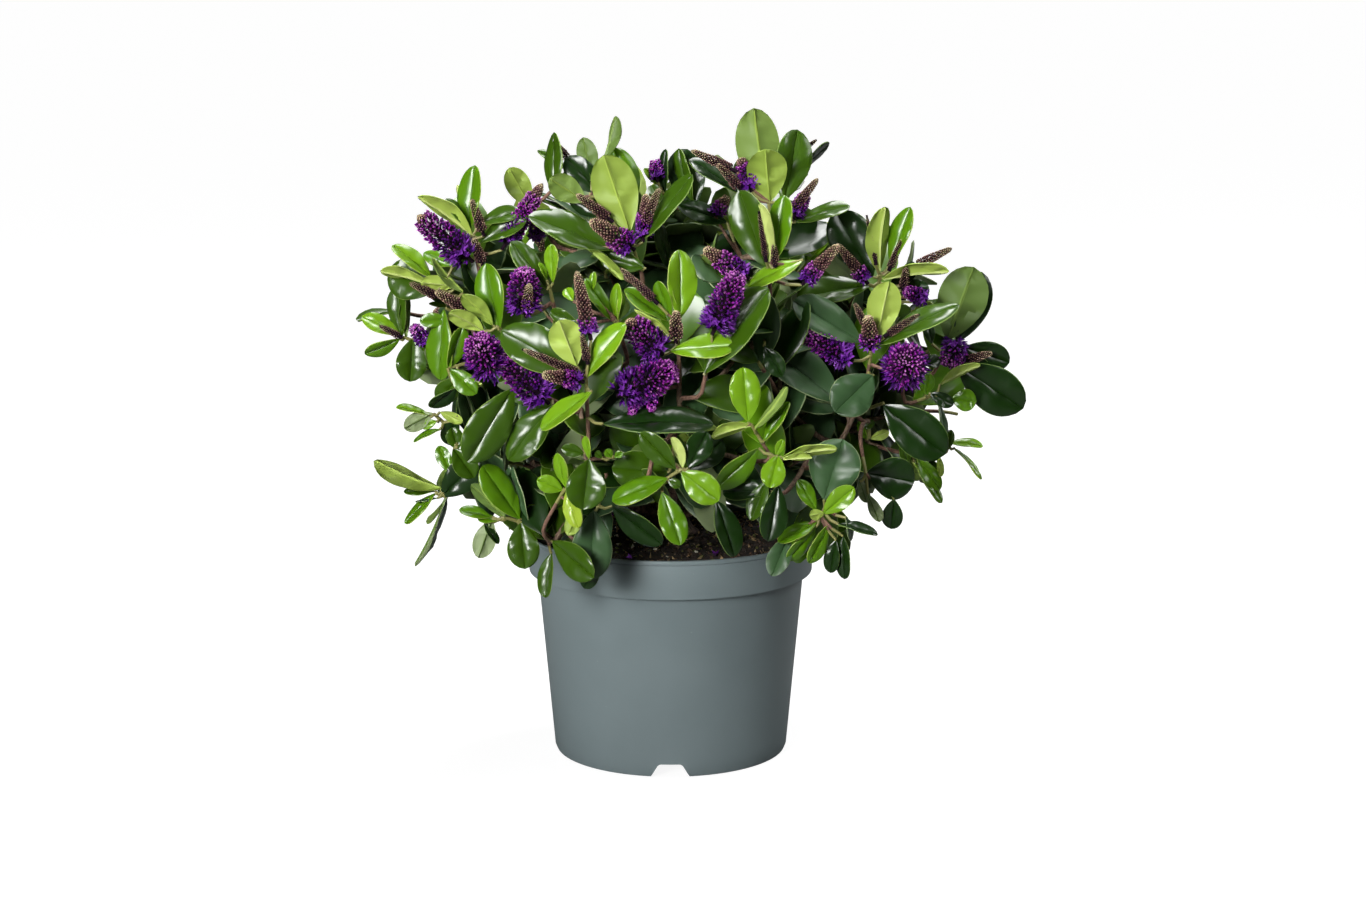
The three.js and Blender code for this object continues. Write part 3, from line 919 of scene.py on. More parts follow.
# An open floret is a star: the foot of its tube, the four corners of its mouth, its throat, and the
# tips of its four lobes. Its parts are the tube, the lobes' upper faces and their backs.
STAR = (
    np.array([(0, 0, 0), *ring(4, 1, 0.55), (0, 0, 0.45), *ring(4, 1.9, 1.0, 0.5)]),
    [(0, (i + 1) % 4 + 1, i + 1) for i in range(4)]
    + [(i + 1, 6 + i, 5) for i in range(4)]
    + [(6 + i, (i + 1) % 4 + 1, 5) for i in range(4)]
    + [(i + 1, (i + 1) % 4 + 1, 6 + i) for i in range(4)],
)
STAR_PARTS = [0] * 4 + [1] * 8 + [2] * 4

# Buds are dull and downy with a tan tip; their near-black foot is painted shade between the buds, and
# the tips are paler in part as painted highlight. Petals have a soft bloom, violet to magenta at the head
# and paler in part there as painted highlight, and bluer where they have been open for a while; their
# near-black tubes are painted shade between the florets.
BUD_TONES = (
    ("#1c0a10", "#402426", "#8c6460"),
    ("#200f0e", "#4c3830", "#b09078"),
    ("#231a0c", "#544a32", "#c0b088"),
)
CLUB_TONES = (
    ("#100018", "#2e0540", "#5c1280"),
    ("#14001a", "#44064c", "#8c2494"),
    ("#1a0320", "#5c1460", "#ae66ac"),
)
STAR_TONES = (("#1a0426", "#4c1074", "#300850"), ("#20062c", "#74349a", "#4c1068"))
DOWN = {"roughness": 0.7, "specular_ior_level": 0.3}
BLOOM = {"roughness": 0.5, "specular_ior_level": 0.25}
bud_finishes = [matt(f"downy_bud_{i}", c, **DOWN) for i, c in enumerate(sum(BUD_TONES, ()))]
club_finishes = [matt(f"magenta_club_{i}", c, **BLOOM) for i, c in enumerate(sum(CLUB_TONES, ()))]
star_finishes = [matt(f"violet_star_{i}", c, **BLOOM) for i, c in enumerate(sum(STAR_TONES, ()))]
# The stalk and the thick core it swells into inside the bloom are near black and without gloss: painted
# shade inside the spike.
stalk_painted_shade_finish = matt("flower_stalk_painted_shade", "#1a0a18", roughness=0.8, specular_ior_level=0.1)

# What winds round a spike. The last four are the step from one to the next, how much shorter they are
# towards the top, how much they lean along the spike, and how much they stray.
Wound = namedtuple("Wound", "form parts finishes step taper tilt loose")
WOUND = {
    "flower_buds": Wound(BUD, SPINDLE_PARTS, bud_finishes, 0.13, 0.5, 0.8, 0.07),
    "flower_clubs": Wound(CLUB, SPINDLE_PARTS, club_finishes, 0.082, 0.35, 0.35, 0.16),
    "open_florets": Wound(STAR, STAR_PARTS, star_finishes, 0.17, 0.25, 0.3, 0.2),
}

# A few florets have dropped and lie on the compost.
FALLEN_AT = ((29, -67), (-38, 52), (61, 20), (-24, -70))
FALLEN_SIZE = (1.6, 1.6, 3.6)
FALLEN_PROUD = 1.0

places = [np.array(on_bed(*spot)) + (0, 0, FALLEN_PROUD) for spot in FALLEN_AT]
turns = random_turns(np.random.default_rng(12), np.tile(FALLEN_SIZE, (len(places), 1)))
points, faces = copies(STAR, turns, np.array(places))
bluer = [part + 3 for part in STAR_PARTS] * len(places)
fallen = joined("fallen_florets", points, faces, star_finishes, bluer)
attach(fallen, "root")
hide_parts("compost")


def unit(vector):
    """This direction at a length of one."""
    return vector / np.linalg.norm(vector)


def aimed(directions, widths, lengths, dice):
    """Matrices that point a form's own Z along each direction, at this width and length."""
    helper = np.where(np.abs(directions[:, 2:]) < 0.9, (0.0, 0.0, 1.0), (1.0, 0.0, 0.0))
    first = np.cross(helper, directions)
    first /= np.linalg.norm(first, axis=1, keepdims=True)
    second = np.cross(directions, first)
    spin = dice.uniform(0, 2 * math.pi, (len(directions), 1))
    turned_first = first * np.cos(spin) + second * np.sin(spin)
    turned_second = second * np.cos(spin) - first * np.sin(spin)
    wide, long = widths[:, None], lengths[:, None]
    return np.stack((turned_first * wide, turned_second * wide, directions * long), axis=2)


def spike_line(spike, distance):
    """Points and directions at these distances along a spike's axis, which sags a little."""
    share = (distance / spike.length)[:, None]
    down = spike.way * spike.way[2] - (0, 0, 1)
    points = spike.foot + spike.way * distance[:, None] + down * SAG * spike.length * share**2
    ways = spike.way + down * 2 * SAG * share
    return points, ways / np.linalg.norm(ways, axis=1, keepdims=True)


def spirals(spike, kind, start, end, radius, length, dice):
    """Places and matrices for one kind that winds round a spike from start to end."""
    count = max(WOUND_LEAST, int((end - start) * spike.length / kind.step))
    share = np.linspace(start, end, count)
    points, ways = spike_line(spike, share * spike.length)
    helper = np.cross(ways, (0.31, 0.27, 0.91))
    helper /= np.linalg.norm(helper, axis=1, keepdims=True)
    other = np.cross(ways, helper)
    angle = (np.arange(count) * GOLDEN_TURN)[:, None]
    outward = helper * np.cos(angle) + other * np.sin(angle)
    near_tip = np.clip((share - ROUNDED_FROM) / (1 - ROUNDED_FROM), 0, 1)
    rounded = 1 - kind.taper * share**2 - ROUNDED_BY * near_tip**2
    upwards = ways * (kind.tilt + LEANS_UP * share**4)[:, None]
    aim = outward + upwards + dice.normal(scale=kind.loose, size=(count, 3))
    aim /= np.linalg.norm(aim, axis=1, keepdims=True)
    core = (CORE * spike.width * rounded)[:, None]
    sizes = dice.uniform(1 - kind.loose, 1 + kind.loose, count)
    matrices = aimed(aim, radius * sizes, length * rounded * sizes, dice)
    return points + outward * core, matrices, share


def opened_to(spike):
    """The share of a spike's length up to which it is open."""
    return BARE_STALK + (1 - BARE_STALK) * spike.open_share


def stalk_of(spike):
    """The line and the radii of a spike's stalk, which swells into a thick core where its florets hide
    it, near black as painted shade inside the spike.
    """
    share = np.linspace(0, 1, STALK_RINGS)
    in_bloom = (share > BARE_STALK) & (share < opened_to(spike) - BLOOM_ENDS)
    core = CORE * spike.width * (1 - CORE_TAPER * share)
    radii = np.where(in_bloom, core, STALK_RADIUS - STALK_TAPER * share)
    return spike_line(spike, share * spike.length)[0], radii


def wound_round(spike):
    """The kinds that wind round a spike, each with its start, end, radius and length."""
    opened = opened_to(spike)
    starry = BARE_STALK + (opened - BARE_STALK) * STAR_SHARE
    reach = max(FLORET_LENGTH * spike.width, FLORET_LEAST)
    breadth = min(spike.width, BUDS_WIDEST)
    rows = []
    if spike.open_share > BARELY_OPEN:
        rows.append(("open_florets", BARE_STALK, starry, STAR_RADIUS, reach))
        rows.append(("flower_clubs", starry, opened, CLUB_RADIUS, reach))
    if spike.open_share < ALL_OPEN:
        rows.append(("flower_buds", opened, 1.0, breadth * BUD_RADIUS, breadth * BUD_LENGTH))
    return rows


def paler_upwards(share, start, end, tones, dice):
    """Which of a kind's tones each one wears, paler towards the top, with some stray."""
    stray = dice.normal(scale=PALER_STRAY, size=len(share))
    lightness = PALER_UP * (share - start) / (end - start) + stray - PALER_START
    return np.clip(np.round(lightness), 0, tones - 1).astype(int)


# ---- The shoots ----
# Each shoot is a straight young stem with leaves in opposite pairs, each pair crosswise to the next,
# small and upright at the tip, larger and wider spread below. The leaves are set on it with no stalk.

Pair = namedtuple("Pair", "below length width angle")
PAIRS = [
    Pair(0.5, 15, 5, 7),
    Pair(2, 27, 12, 15),
    Pair(5, 38, 19, 28),
    Pair(10, 47, 24, 43),
    Pair(18, 53, 28, 57),
    Pair(28, 55, 29, 67),
    Pair(40, 53, 28, 76),
    Pair(54, 48, 26, 84),
]
SHOOT_TIP_RADIUS = 1.1
TWIG_SIDES = 6
TWIG_STEP = 5.0
GREEN_TIP = 14.0

CURVES_OUT, CURVES_IN = 0.35, 0.42
LEAFY_LENGTH = 55.0
LEAFY_END = 50.0
AGAINST_GROWTH = 30.0
SWINGS_ROUND = 0.6
TWIG_RADIUS, TWIG_THICKENS = 1.3, 0.012
LIMB_FROM, LIMB_PLACES = 0.55, 10
LIMB_HOLDS = 0.9
ROLL_STRAY = 0.14
ANGLE_STRAY = 6
FACES_BACK = 0.35
TURNED_BACK = -0.3
LEAVES_LEAST = 6

# How a leaf changes with its age, which is the number of pairs above it.
DROOP, DROOPS_AFTER = 0.03, 3
TO_LIGHT, LIGHT_UP_TO = 0.12, 5
FACE_STRAY = 0.10
TONE_STEP, TONE_STRAY = 0.64, 0.6
BENDS, BEND_STEP = (-0.05, 0.12), 0.05
FOLD, FOLD_STEP, FOLD_STRAY = 14, 2.2, 5
TWIST_STRAY = 0.16
ALL_ROUND = 6.28
REACHED = (0.55, 1.0)
LENGTHS = (0.92, 1.06)
WIDTHS = (0.93, 1.07)

# Where a leaf may stand: how far out of the crown, how near the pot, and how near in the frame to a
# leaf or spike that stands out and was placed first.
LEAF_PROUD = 7.0
POT_ROOM = 2.5
FRAME_WIDE = 1366
FRAME_HIGH = 911
ROOM_TO_SHOW = 24
BEHIND_SHOWN = 4.0
shown = []

corners, triangles = [], []
for mass in MASSES:
    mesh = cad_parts[f"leaves_{mass}"].data
    start = len(corners)
    corners += [v.co / MM for v in mesh.vertices]
    triangles += [tuple(start + c for c in p.vertices) for p in mesh.polygons]
crown_tree = BVHTree.FromPolygons(corners, triangles)


def proud_by(point):
    """How far a point lies outside the masses of foliage, or less than nothing inside them."""
    spot, normal, _, _ = crown_tree.find_nearest(Vector(point))
    return (Vector(point) - spot).dot(normal)


def in_crown(point):
    """Whether a leaf may reach this point: in the crown's outline, and clear of the pot."""
    in_pot = math.hypot(point[0], point[1]) < RIM_RADIUS + POT_ROOM and point[2] < POT_HEIGHT + POT_ROOM
    return not in_pot and proud_by(point) < LEAF_PROUD


def shown_at(point):
    """Where the camera shows a point, in a frame of FRAME_WIDE by FRAME_HIGH."""
    reach = LENS / SENSOR * FRAME_WIDE
    cos, sin = math.cos(TIPPED_DOWN), math.sin(TIPPED_DOWN)
    x, y, z = (np.asarray(point) - EYE).T
    ahead, above = y * cos - z * sin, z * cos + y * sin
    return np.array((FRAME_WIDE / 2 + reach * x / ahead, FRAME_HIGH / 2 - reach * above / ahead)).T


def hides(point):
    """Whether a leaf at this point would stand before one of the leaves or spikes that stand out."""
    if not shown:
        return False
    places, depths = np.array(shown)[:, :2], np.array(shown)[:, 2]
    near = np.linalg.norm(places - shown_at(point), axis=1) < ROOM_TO_SHOW
    return bool(np.any(near & (point[1] < depths + BEHIND_SHOWN)))


skeleton = {}
growth = {}
for mass in MASSES:
    growth[mass] = {"leaves": [], "broad_leaves": [], "creased_leaves": [], "spikes": [], "twigs": []}
    radius = TIERS[MASSES[mass][0]].radius
    nodes = []
    for share in np.linspace(LIMB_FROM, 1.0, LIMB_PLACES):
        point, way = along_bough(mass, share)
        nodes.append((point, way, radius * (1 + (BOUGH_TIP - 1) * share) * LIMB_HOLDS))
    skeleton[mass] = nodes


def add_leaf(mass, place, along, face, length, width, age, dice):
    """One leaf, if there is room; age counts pairs from the tip and sets its tone and droop."""
    along = unit(along - (0, 0, DROOP * max(0, age - DROOPS_AFTER)))
    face = face + (0, 0, TO_LIGHT * min(age, LIGHT_UP_TO)) + dice.normal(scale=FACE_STRAY, size=3)
    face = unit(face - along * (face @ along))
    tone = round(age * TONE_STEP + dice.normal(scale=TONE_STRAY))
    reached = [place + along * length * share for share in REACHED]
    if not all(in_crown(point) and not hides(point) for point in reached):
        return False
    growth[mass]["leaves"].append(
        Leaf(
            place,
            along,
            face,
            length * dice.uniform(*LENGTHS),
            width * dice.uniform(*WIDTHS),
            dice.uniform(*BENDS) + BEND_STEP * age,
            math.radians(FOLD - FOLD_STEP * age + dice.normal(scale=FOLD_STRAY)),
            dice.normal(scale=TWIST_STRAY),
            dice.uniform(0, ALL_ROUND),
            TONE_ORDER[min(max(tone, 0), len(TONE_ORDER) - 1)],
        )
    )
    return True


def add_spike(mass, foot, way, length, open_share, width):
    """One flower spike; width is its whole breadth where it is widest."""
    growth[mass]["spikes"].append(Spike(foot, unit(way), length, open_share, width))


def curved_line(foot, foot_way, tip, tip_way):
    """Points about a twig step apart on a smooth line between two points."""
    reach = np.linalg.norm(tip - foot)
    first = foot + foot_way * reach * CURVES_OUT
    last = tip - tip_way * reach * CURVES_IN
    share = np.linspace(0, 1, max(4, int(reach / TWIG_STEP)) + 1)[:, None]
    return (
        foot * (1 - share) ** 3
        + first * 3 * share * (1 - share) ** 2
        + last * 3 * share**2 * (1 - share)
        + tip * share**3
    )


def grow_twig(mass, tip, way, through=()):
    """Grows a twig from the nearest fitting place on the mass's limbs to a shoot's tip."""
    stops = [tip, *through]
    low = through[-1] if through else tip - way * LEAFY_LENGTH
    low_way = unit(stops[-2] - low) if through else way
    foot, foot_way, limit = min(
        skeleton[mass],
        key=lambda node: np.linalg.norm(low - node[0]) + AGAINST_GROWTH * max(0, -node[1] @ low_way),
    )
    parts = []
    if through:
        ways = [way] + [unit(upper - lower) for upper, lower in zip(stops, stops[1:])]
        parts.append(curved_line(foot, unit(foot_way + low_way * SWINGS_ROUND), low, low_way))
        for k in range(len(stops) - 1, 0, -1):
            parts.append(curved_line(stops[k], ways[k], stops[k - 1], ways[k - 1])[1:])
    else:
        parts.append(curved_line(foot, unit(foot_way + way * SWINGS_ROUND), tip, way))
    line = np.concatenate(parts)
    length = np.linalg.norm(np.diff(line, axis=0), axis=1).sum()
    thick = min(limit, TWIG_RADIUS + TWIG_THICKENS * length)
    radii = SHOOT_TIP_RADIUS + (thick - SHOOT_TIP_RADIUS) * np.linspace(1, 0, len(line))
    return line, radii


def keep_twig(mass, line, radii):
    """Adds a twig to the mass, where later twigs may branch from all but its leafy end."""
    growth[mass]["twigs"].append((line, radii))
    ways = np.gradient(line, axis=0)
    keep = max(1, len(line) - int(LEAFY_END / TWIG_STEP))
    for point, line_way, radius in list(zip(line, ways, radii))[1:keep]:
        skeleton[mass].append((point, unit(line_way), radius))


def below_tip(line, distance):
    """The point this far back down a shoot from its tip, and the way the shoot runs there."""
    steps = np.linalg.norm(np.diff(line, axis=0), axis=1)[::-1]
    gone = 0.0
    for back, step in enumerate(steps):
        upper, lower = line[-1 - back], line[-2 - back]
        if gone + step >= distance or back == len(steps) - 1:
            share = min(1.0, (distance - gone) / step)
            return upper + (lower - upper) * share, unit(upper - lower)
        gone += step


def grow_shoot(
    mass, tip, way, dice, roll=0.0, size=1.0, age=0, first=0, last=len(PAIRS), through=(), behind=False
):
    """A leafy shoot: its twig, then its pairs of leaves from the tip down, or only those behind it."""
    way = unit(way)
    line, radii = grow_twig(mass, tip, way, through)
    if not through and unit(line[1] - line[0]) @ way < TURNED_BACK:
        return None
    bare_end = None
    kept = growth[mass]["leaves"]
    before = len(kept)
    helper = np.array((0.0, -1.0, 0.0)) if abs(way[1]) < 0.9 else np.array((0.0, 0.0, 1.0))
    for number, pair in list(enumerate(PAIRS))[first:last]:
        place, stem_way = below_tip(line, pair.below * size)
        front = unit(helper - stem_way * (helper @ stem_way))
        right = np.cross(stem_way, front)
        turn = roll + number * math.pi / 2 + dice.normal(scale=ROLL_STRAY)
        for side in (0, math.pi):
            angle = math.radians(pair.angle + dice.normal(scale=ANGLE_STRAY))
            spread = front * math.cos(turn + side) + right * math.sin(turn + side)
            along = stem_way * math.cos(angle) + spread * math.sin(angle)
            face = stem_way * math.sin(angle) - spread * math.cos(angle)
            if behind and along[1] < FACES_BACK:
                continue
            length, width = pair.length * size, pair.width * size
            if add_leaf(mass, place, along, face, length, width, number + age, dice) and bare_end is None:
                bare_end = pair.below * size
    if not through:
        if len(kept) < before + LEAVES_LEAST:
            del kept[before:]
            return None
        left = np.linalg.norm(line - line[-1], axis=1)
        cut = max(2, int(np.sum(left >= bare_end)))
        line = np.concatenate([line[:cut], [below_tip(line, bare_end)[0]]])
        radii = radii[: len(line)]
    keep_twig(mass, line, radii)
    return line


# ---- The shoots that stand out ----
# The front of the plant is grown shoot by shoot, because its broad leaves and flower spikes give it
# its face. Each place is where the camera shows it in a frame of FRAME_WIDE by FRAME_HIGH, with the
# shoot's depth in millimetres before the middle of the pot.
#
# A leaf is its foot, its tip, how wide it looks in millimetres, which way its upper face looks
# (Front, Back, Left, Right, Up or Down) and its tone; a spike is its foot, its top, its width in
# millimetres and how much of it is open. The last number of either, where there is one, is how much
# nearer its tip is than its foot. A leaf's tone is partly painted light: leaves in shade wear darker
# tones, and a few glossy ones the paler old tone as painted sheen.

WAYS = {"F": (0, -1, 0), "B": (0, 1, 0), "L": (-1, 0, 0), "R": (1, 0, 0), "U": (0, 0, 1), "D": (0, 0, -1)}

Shoot = namedtuple("Shoot", "depth stem leaves spikes", defaults=([],))
SHOOTS = {
    "crest_left": [
        Shoot(66, [(632, 244), (642, 276)], [
            (630, 232, 604, 156, 28, "B", "fresh"), (612, 250, 532, 212, 21, "FU", "grown", 6),
            (641, 240, 689, 174, 11, "FU", "grown", 4), (586, 246, 626, 276, 5.5, "BU", "fresh", 4),
            (645, 268, 600, 255, 15, "FU", "grown", -6),
        ], [
            (613, 222, 577, 193, 7.5, 0, 4), (635, 250, 591, 219, 15, 0.35, 8),
            (642, 228, 659, 188, 7.5, 0, 4), (643, 242, 646, 194, 9.5, 0.5, -6),
        ]),
        Shoot(46, [(590, 196), (606, 238)], [
            (555, 198, 549, 133, 12.5, "FL", "grown", -6), (592, 182, 584, 138, 13, "B", "deep", -4),
            (602, 194, 566, 158, 18, "F", "deep", 0), (586, 202, 549, 178, 17, "B", "grown", 6),
            (604, 162, 620, 118, 4.5, "B", "deep", -4), (600, 216, 568, 198, 9.5, "F", "deep", -4),
            (633, 208, 619, 146, 14.5, "FR", "fresh", -6),
        ]),
        Shoot(16, [(534, 208), (552, 240)], [
            (531, 208, 509, 168, 16, "B", "fresh", 4), (567, 170, 539, 149, 6, "F", "grown"),
        ], [
            (537, 240, 537, 214, 10.5, 1, 8), (573, 166, 559, 145, 6, 0, 0),
        ]),
    ],
    "crest_right": [
        Shoot(56, [(769, 202), (772, 250)], [
            (766, 196, 753, 110, 28, "B", "grown", -8), (770, 202, 765, 148, 25.5, "B", "fresh", 10),
            (785, 200, 799, 130, 22, "F", "grown", -16), (738, 193, 693, 155, 10.5, "FU", "deep", -4),
            (796, 222, 848, 203, 9.5, "FU", "grown", 4),
        ], [
            (792, 212, 817, 178, 7, 0, 2), (793, 219, 806, 192, 10.5, 0.8, -6),
            (737, 172, 692, 149, 7, 0, 0), (742, 191, 718, 163, 7, 0, 4),
            (752, 192, 741, 158, 11.5, 0.7, -4),
        ]),
        Shoot(30, [(786, 178), (780, 240)], [(798, 170, 832, 146, 6.5, "FD", "deep", -10)], [
            (791, 160, 816, 139, 4.5, 0, 0),
        ]),
        Shoot(18, [(666, 196), (657, 240)], [
            (665, 194, 659, 150, 6, "FL", "deep"), (693, 203, 672, 152, 9.5, "FL", "grown", 3),
            (695, 208, 680, 148, 24.5, "F", "deep", -8), (661, 187, 646, 167, 6, "F", "young"),
            (727, 222, 680, 204, 13.5, "FU", "deep", 10), (668, 268, 664, 224, 9.5, "FR", "deep", 10),
        ], [
            (658, 182, 655, 161, 8.5, 0.9, -4), (715, 216, 727, 196, 9, 0.5, 0),
        ]),
    ],
    "shoulder_left": [
        Shoot(52, [(472, 236), (480, 276)], [
            (470, 232, 466, 166, 13, "FL", "fresh"), (473, 236, 424, 189, 11.5, "B", "young", 4),
            (470, 228, 450, 196, 8, "FR", "grown"), (478, 224, 520, 210, 9.5, "FU", "grown"),
            (480, 243, 522, 216, 10, "FU", "grown", 6),
        ], [
            (484, 236, 472, 199, 7.5, 0, 4), (483, 266, 474, 238, 7.5, 0, 6),
            (473, 262, 419, 214, 19.5, 0.85, 10), (502, 250, 541, 183, 13, 0.75, -8),
        ]),
        Shoot(50, [(440, 288), (474, 306)], [
            (432, 279, 397, 241, 9.5, "FR", "young"), (453, 266, 424, 252, 10, "F", "fresh", -8),
            (433, 285, 383, 265, 5.5, "BU", "young", 2), (436, 291, 387, 271, 26.5, "F", "grown", -4),
            (456, 286, 421, 281, 10, "BU", "young", 4), (463, 293, 428, 262, 6.5, "B", "grown", 0),
        ], [
            (440, 298, 410, 282, 6.5, 0, 4), (475, 315, 436, 290, 9, 0, 6),
        ]),
        Shoot(42, [(404, 337), (440, 353)], [
            (400, 335, 363, 315, 12, "F", "young"), (402, 337, 392, 288, 11.5, "F", "grown"),
            (406, 337, 406, 297, 7.5, "B", "deep", -4), (400, 339, 366, 357, 9.5, "F", "fresh"),
            (413, 338, 410, 381, 19.5, "F", "grown", 6),
        ], [
            (402, 338, 380, 325, 5, 0, 2), (425, 342, 414, 327, 9.5, 1, 4),
        ]),
        Shoot(54, [(446, 308), (468, 320)], [
            (444, 309, 433, 379, 14, "FL", "fresh", 6), (448, 319, 420, 321, 9.5, "F", "fresh", 2),
        ]),
        Shoot(62, [(448, 368), (480, 360)], [
            (448, 369, 463, 328, 11, "F", "fresh"), (449, 369, 476, 393, 13.5, "F", "fresh", 6),
            (463, 388, 482, 382, 5.5, "B", "young", 2), (458, 378, 437, 404, 15, "F", "grown", -8),
            (456, 388, 431, 409, 9.5, "F", "deep", -10),
        ]),
    ],
    "shoulder_front_left": [
        Shoot(165, [(586, 378), (588, 425), (589, 462)], [
            (577, 366, 559, 320, 20.5, "B", "young", 4), (586, 378, 617, 321, 12.5, "FL", "young", 6),
            (580, 373, 502, 328, 27, "F", "grown", -4), (592, 391, 541, 428, 11, "FU", "young", 10),
            (603, 424, 712, 414, 17.5, "FU", "deep", -4), (589, 459, 583, 509, 24, "F", "grown", 6),
            (589, 459, 585, 437, 4.5, "F", "young", 4), (584, 453, 562, 448, 8, "F", "grown", 2),
        ], [
            (588, 364, 582, 334, 5.5, 0, 4), (583, 376, 523, 347, 6, 0, 6),
            (584, 382, 543, 373, 10.5, 0.4, 8), (591, 340, 577, 271, 9.5, 0.2, 2),
        ]),
        Shoot(164, [(614, 457), (602, 458), (590, 459)], [
            (612, 457, 606, 450, 5.5, "F", "fresh", 2), (614, 457, 622, 453, 4.5, "F", "fresh", 2),
            (602, 458, 596, 452, 4.5, "F", "grown", 2),
        ]),
        Shoot(146, [(616, 319), (627, 356)], [
            (613, 321, 588, 278, 10, "FR", "fresh", 2), (617, 321, 614, 284, 6, "F", "young", 2),
            (619, 321, 623, 292, 3.5, "F", "young"), (592, 292, 592, 272, 4, "F", "young"),
            (573, 301, 565, 287, 7, "F", "young", -8), (576, 321, 550, 312, 8.5, "F", "grown", -6),
        ]),
        Shoot(118, [(549, 286), (556, 316)], [
            (546, 289, 515, 240, 15, "F", "grown", 2), (553, 283, 550, 245, 6.5, "F", "young", 2),
            (547, 280, 541, 262, 3, "F", "young"),
        ], [
            (524, 314, 524, 272, 20, 1, 10), (526, 317, 529, 283, 8, 0, 20),
        ]),
        Shoot(98, [(498, 326), (514, 350)], [
            (500, 329, 480, 266, 17, "F", "fresh"), (493, 325, 466, 290, 10.5, "B", "fresh", 6),
            (484, 331, 450, 308, 11, "B", "young", 8),
        ]),
        Shoot(138, [(520, 384), (560, 404)], [
            (513, 388, 470, 463, 25.5, "F", "grown", 8), (553, 405, 505, 458, 21.5, "FU", "grown", 6),
        ], [
            (492, 368, 478, 342, 24, 1, 22), (549, 404, 502, 356, 20, 1, 8),
        ]),
    ],
    "shoulder_front_right": [
        Shoot(150, [(677, 319), (679, 360), (679, 402)], [
            (680, 319, 684, 251, 19, "F", "young"), (671, 319, 657, 282, 9, "FL", "fresh", 2),
            (678, 307, 676, 285, 3.5, "F", "young", 3), (669, 321, 627, 288, 10, "FU", "fresh", 4),
            (674, 341, 640, 303, 5.5, "BU", "young", 6), (670, 351, 733, 340, 14, "FU", "young", 10),
        ], [
            (676, 343, 676, 311, 9, 0, 6), (663, 355, 628, 319, 18.5, 0.75, 8),
            (617, 396, 672, 368, 22.5, 1, 10), (636, 392, 632, 414, 3.5, 1, 6),
            (651, 390, 652, 410, 3.5, 1, 6), (658, 304, 621, 267, 6, 0, 0),
        ]),
        Shoot(130, [(769, 264), (770, 292), (764, 342)], [
            (766, 267, 738, 192, 24, "F", "grown", -4), (775, 261, 782, 196, 15, "FL", "fresh", -4),
            (770, 263, 767, 203, 6.5, "B", "budding", 4), (803, 260, 747, 278, 10.5, "FU", "young", 8),
            (764, 346, 782, 376, 12, "F", "deep", 4),
        ], [
            (766, 262, 759, 211, 4, 0, 2), (775, 267, 774, 244, 5.5, 0, 4),
            (749, 279, 705, 247, 13.5, 0.6, 6), (802, 285, 838, 244, 10, 0.35, 8),
        ]),
        Shoot(152, [(712, 346), (702, 392)], [(704, 374, 764, 288, 23.5, "FL", "grown", 0)], [
            (712, 335, 737, 274, 19, 0.95, 8),
        ]),
        Shoot(88, [(872, 346), (867, 380), (846, 432)], [
            (877, 339, 889, 281, 21, "B", "young", 4), (878, 345, 953, 296, 16.5, "FL", "grown", 2),
            # The next three leaves are dark glossy ones that wear the paler, greyer old tone as painted
            # sheen of the lamps.
            (862, 342, 795, 301, 21, "FU", "old", 6), (843, 404, 766, 342, 24.5, "FU", "old", -4),
            (873, 375, 836, 411, 27, "FU", "old", 12),
        ], [
            (866, 327, 855, 303, 5.5, 0, 2), (871, 350, 868, 316, 12.5, 0.3, 8),
            (884, 337, 919, 313, 5.5, 0, 2), (904, 372, 908, 358, 27, 1, 26),
            (853, 361, 806, 332, 16.5, 1, 8),
        ]),
    ],
    "shoulder_right": [
        Shoot(50, [(880, 274), (876, 304)], [
            (879, 273, 877, 206, 15, "B", "young", 3), (890, 265, 907, 207, 13, "FL", "fresh", 0),
            (882, 279, 947, 263, 8, "BU", "young", 4), (873, 277, 836, 212, 29, "F", "deep", -4),
            (900, 286, 916, 262, 9.5, "F", "deep", -8), (912, 302, 922, 280, 15, "F", "deep", -8),
            (870, 286, 798, 291, 17.5, "F", "grown", 10),
        ], [
            (876, 265, 867, 215, 4, 0, 2), (889, 271, 902, 238, 5.5, 0, 2), (913, 268, 951, 247, 7, 0, 0),
            (903, 291, 906, 267, 6.5, 0, 4), (927, 300, 906, 290, 10.5, 1, 4),
            (868, 284, 838, 243, 8, 0.25, 4),
        ]),
        Shoot(36, [(950, 343), (934, 372)], [
            (947, 341, 974, 267, 31.5, "B", "deep", 2), (957, 343, 983, 273, 24, "F", "deep", -6),
            (964, 347, 1010, 363, 19, "FU", "deep", -4), (957, 365, 1024, 409, 30, "F", "deep", 4),
            (925, 364, 940, 359, 9, "F", "deep", 4), (932, 344, 927, 322, 7.5, "F", "deep", -4),
            (950, 352, 990, 374, 15, "F", "deep", -6),
        ], [
            (958, 338, 950, 364, 17, 1, 8), (965, 361, 992, 352, 6.5, 0, 2),
        ]),
        Shoot(42, [(936, 394), (912, 403)], [
            (940, 384, 977, 359, 7, "BU", "young", 2), (930, 393, 953, 405, 9.5, "FU", "deep", 4),
            (951, 399, 976, 401, 14.5, "F", "fresh", 2), (939, 403, 950, 441, 5, "F", "old", 2),
            (925, 395, 929, 374, 9.5, "F", "fresh", 3),
        ]),
    ],
    "skirt_left": [
        Shoot(40, [(434, 414), (452, 430)], [
            (429, 415, 397, 405, 4.5, "FU", "young"), (433, 413, 405, 428, 12, "B", "old"),
            (440, 429, 412, 438, 4, "FU", "fresh"), (437, 421, 420, 427, 6.5, "F", "young"),
            (440, 412, 462, 423, 7, "B", "young", 3), (458, 416, 444, 446, 12.5, "F", "deep", -8),
        ]),
        Shoot(42, [(442, 492), (466, 484)], [
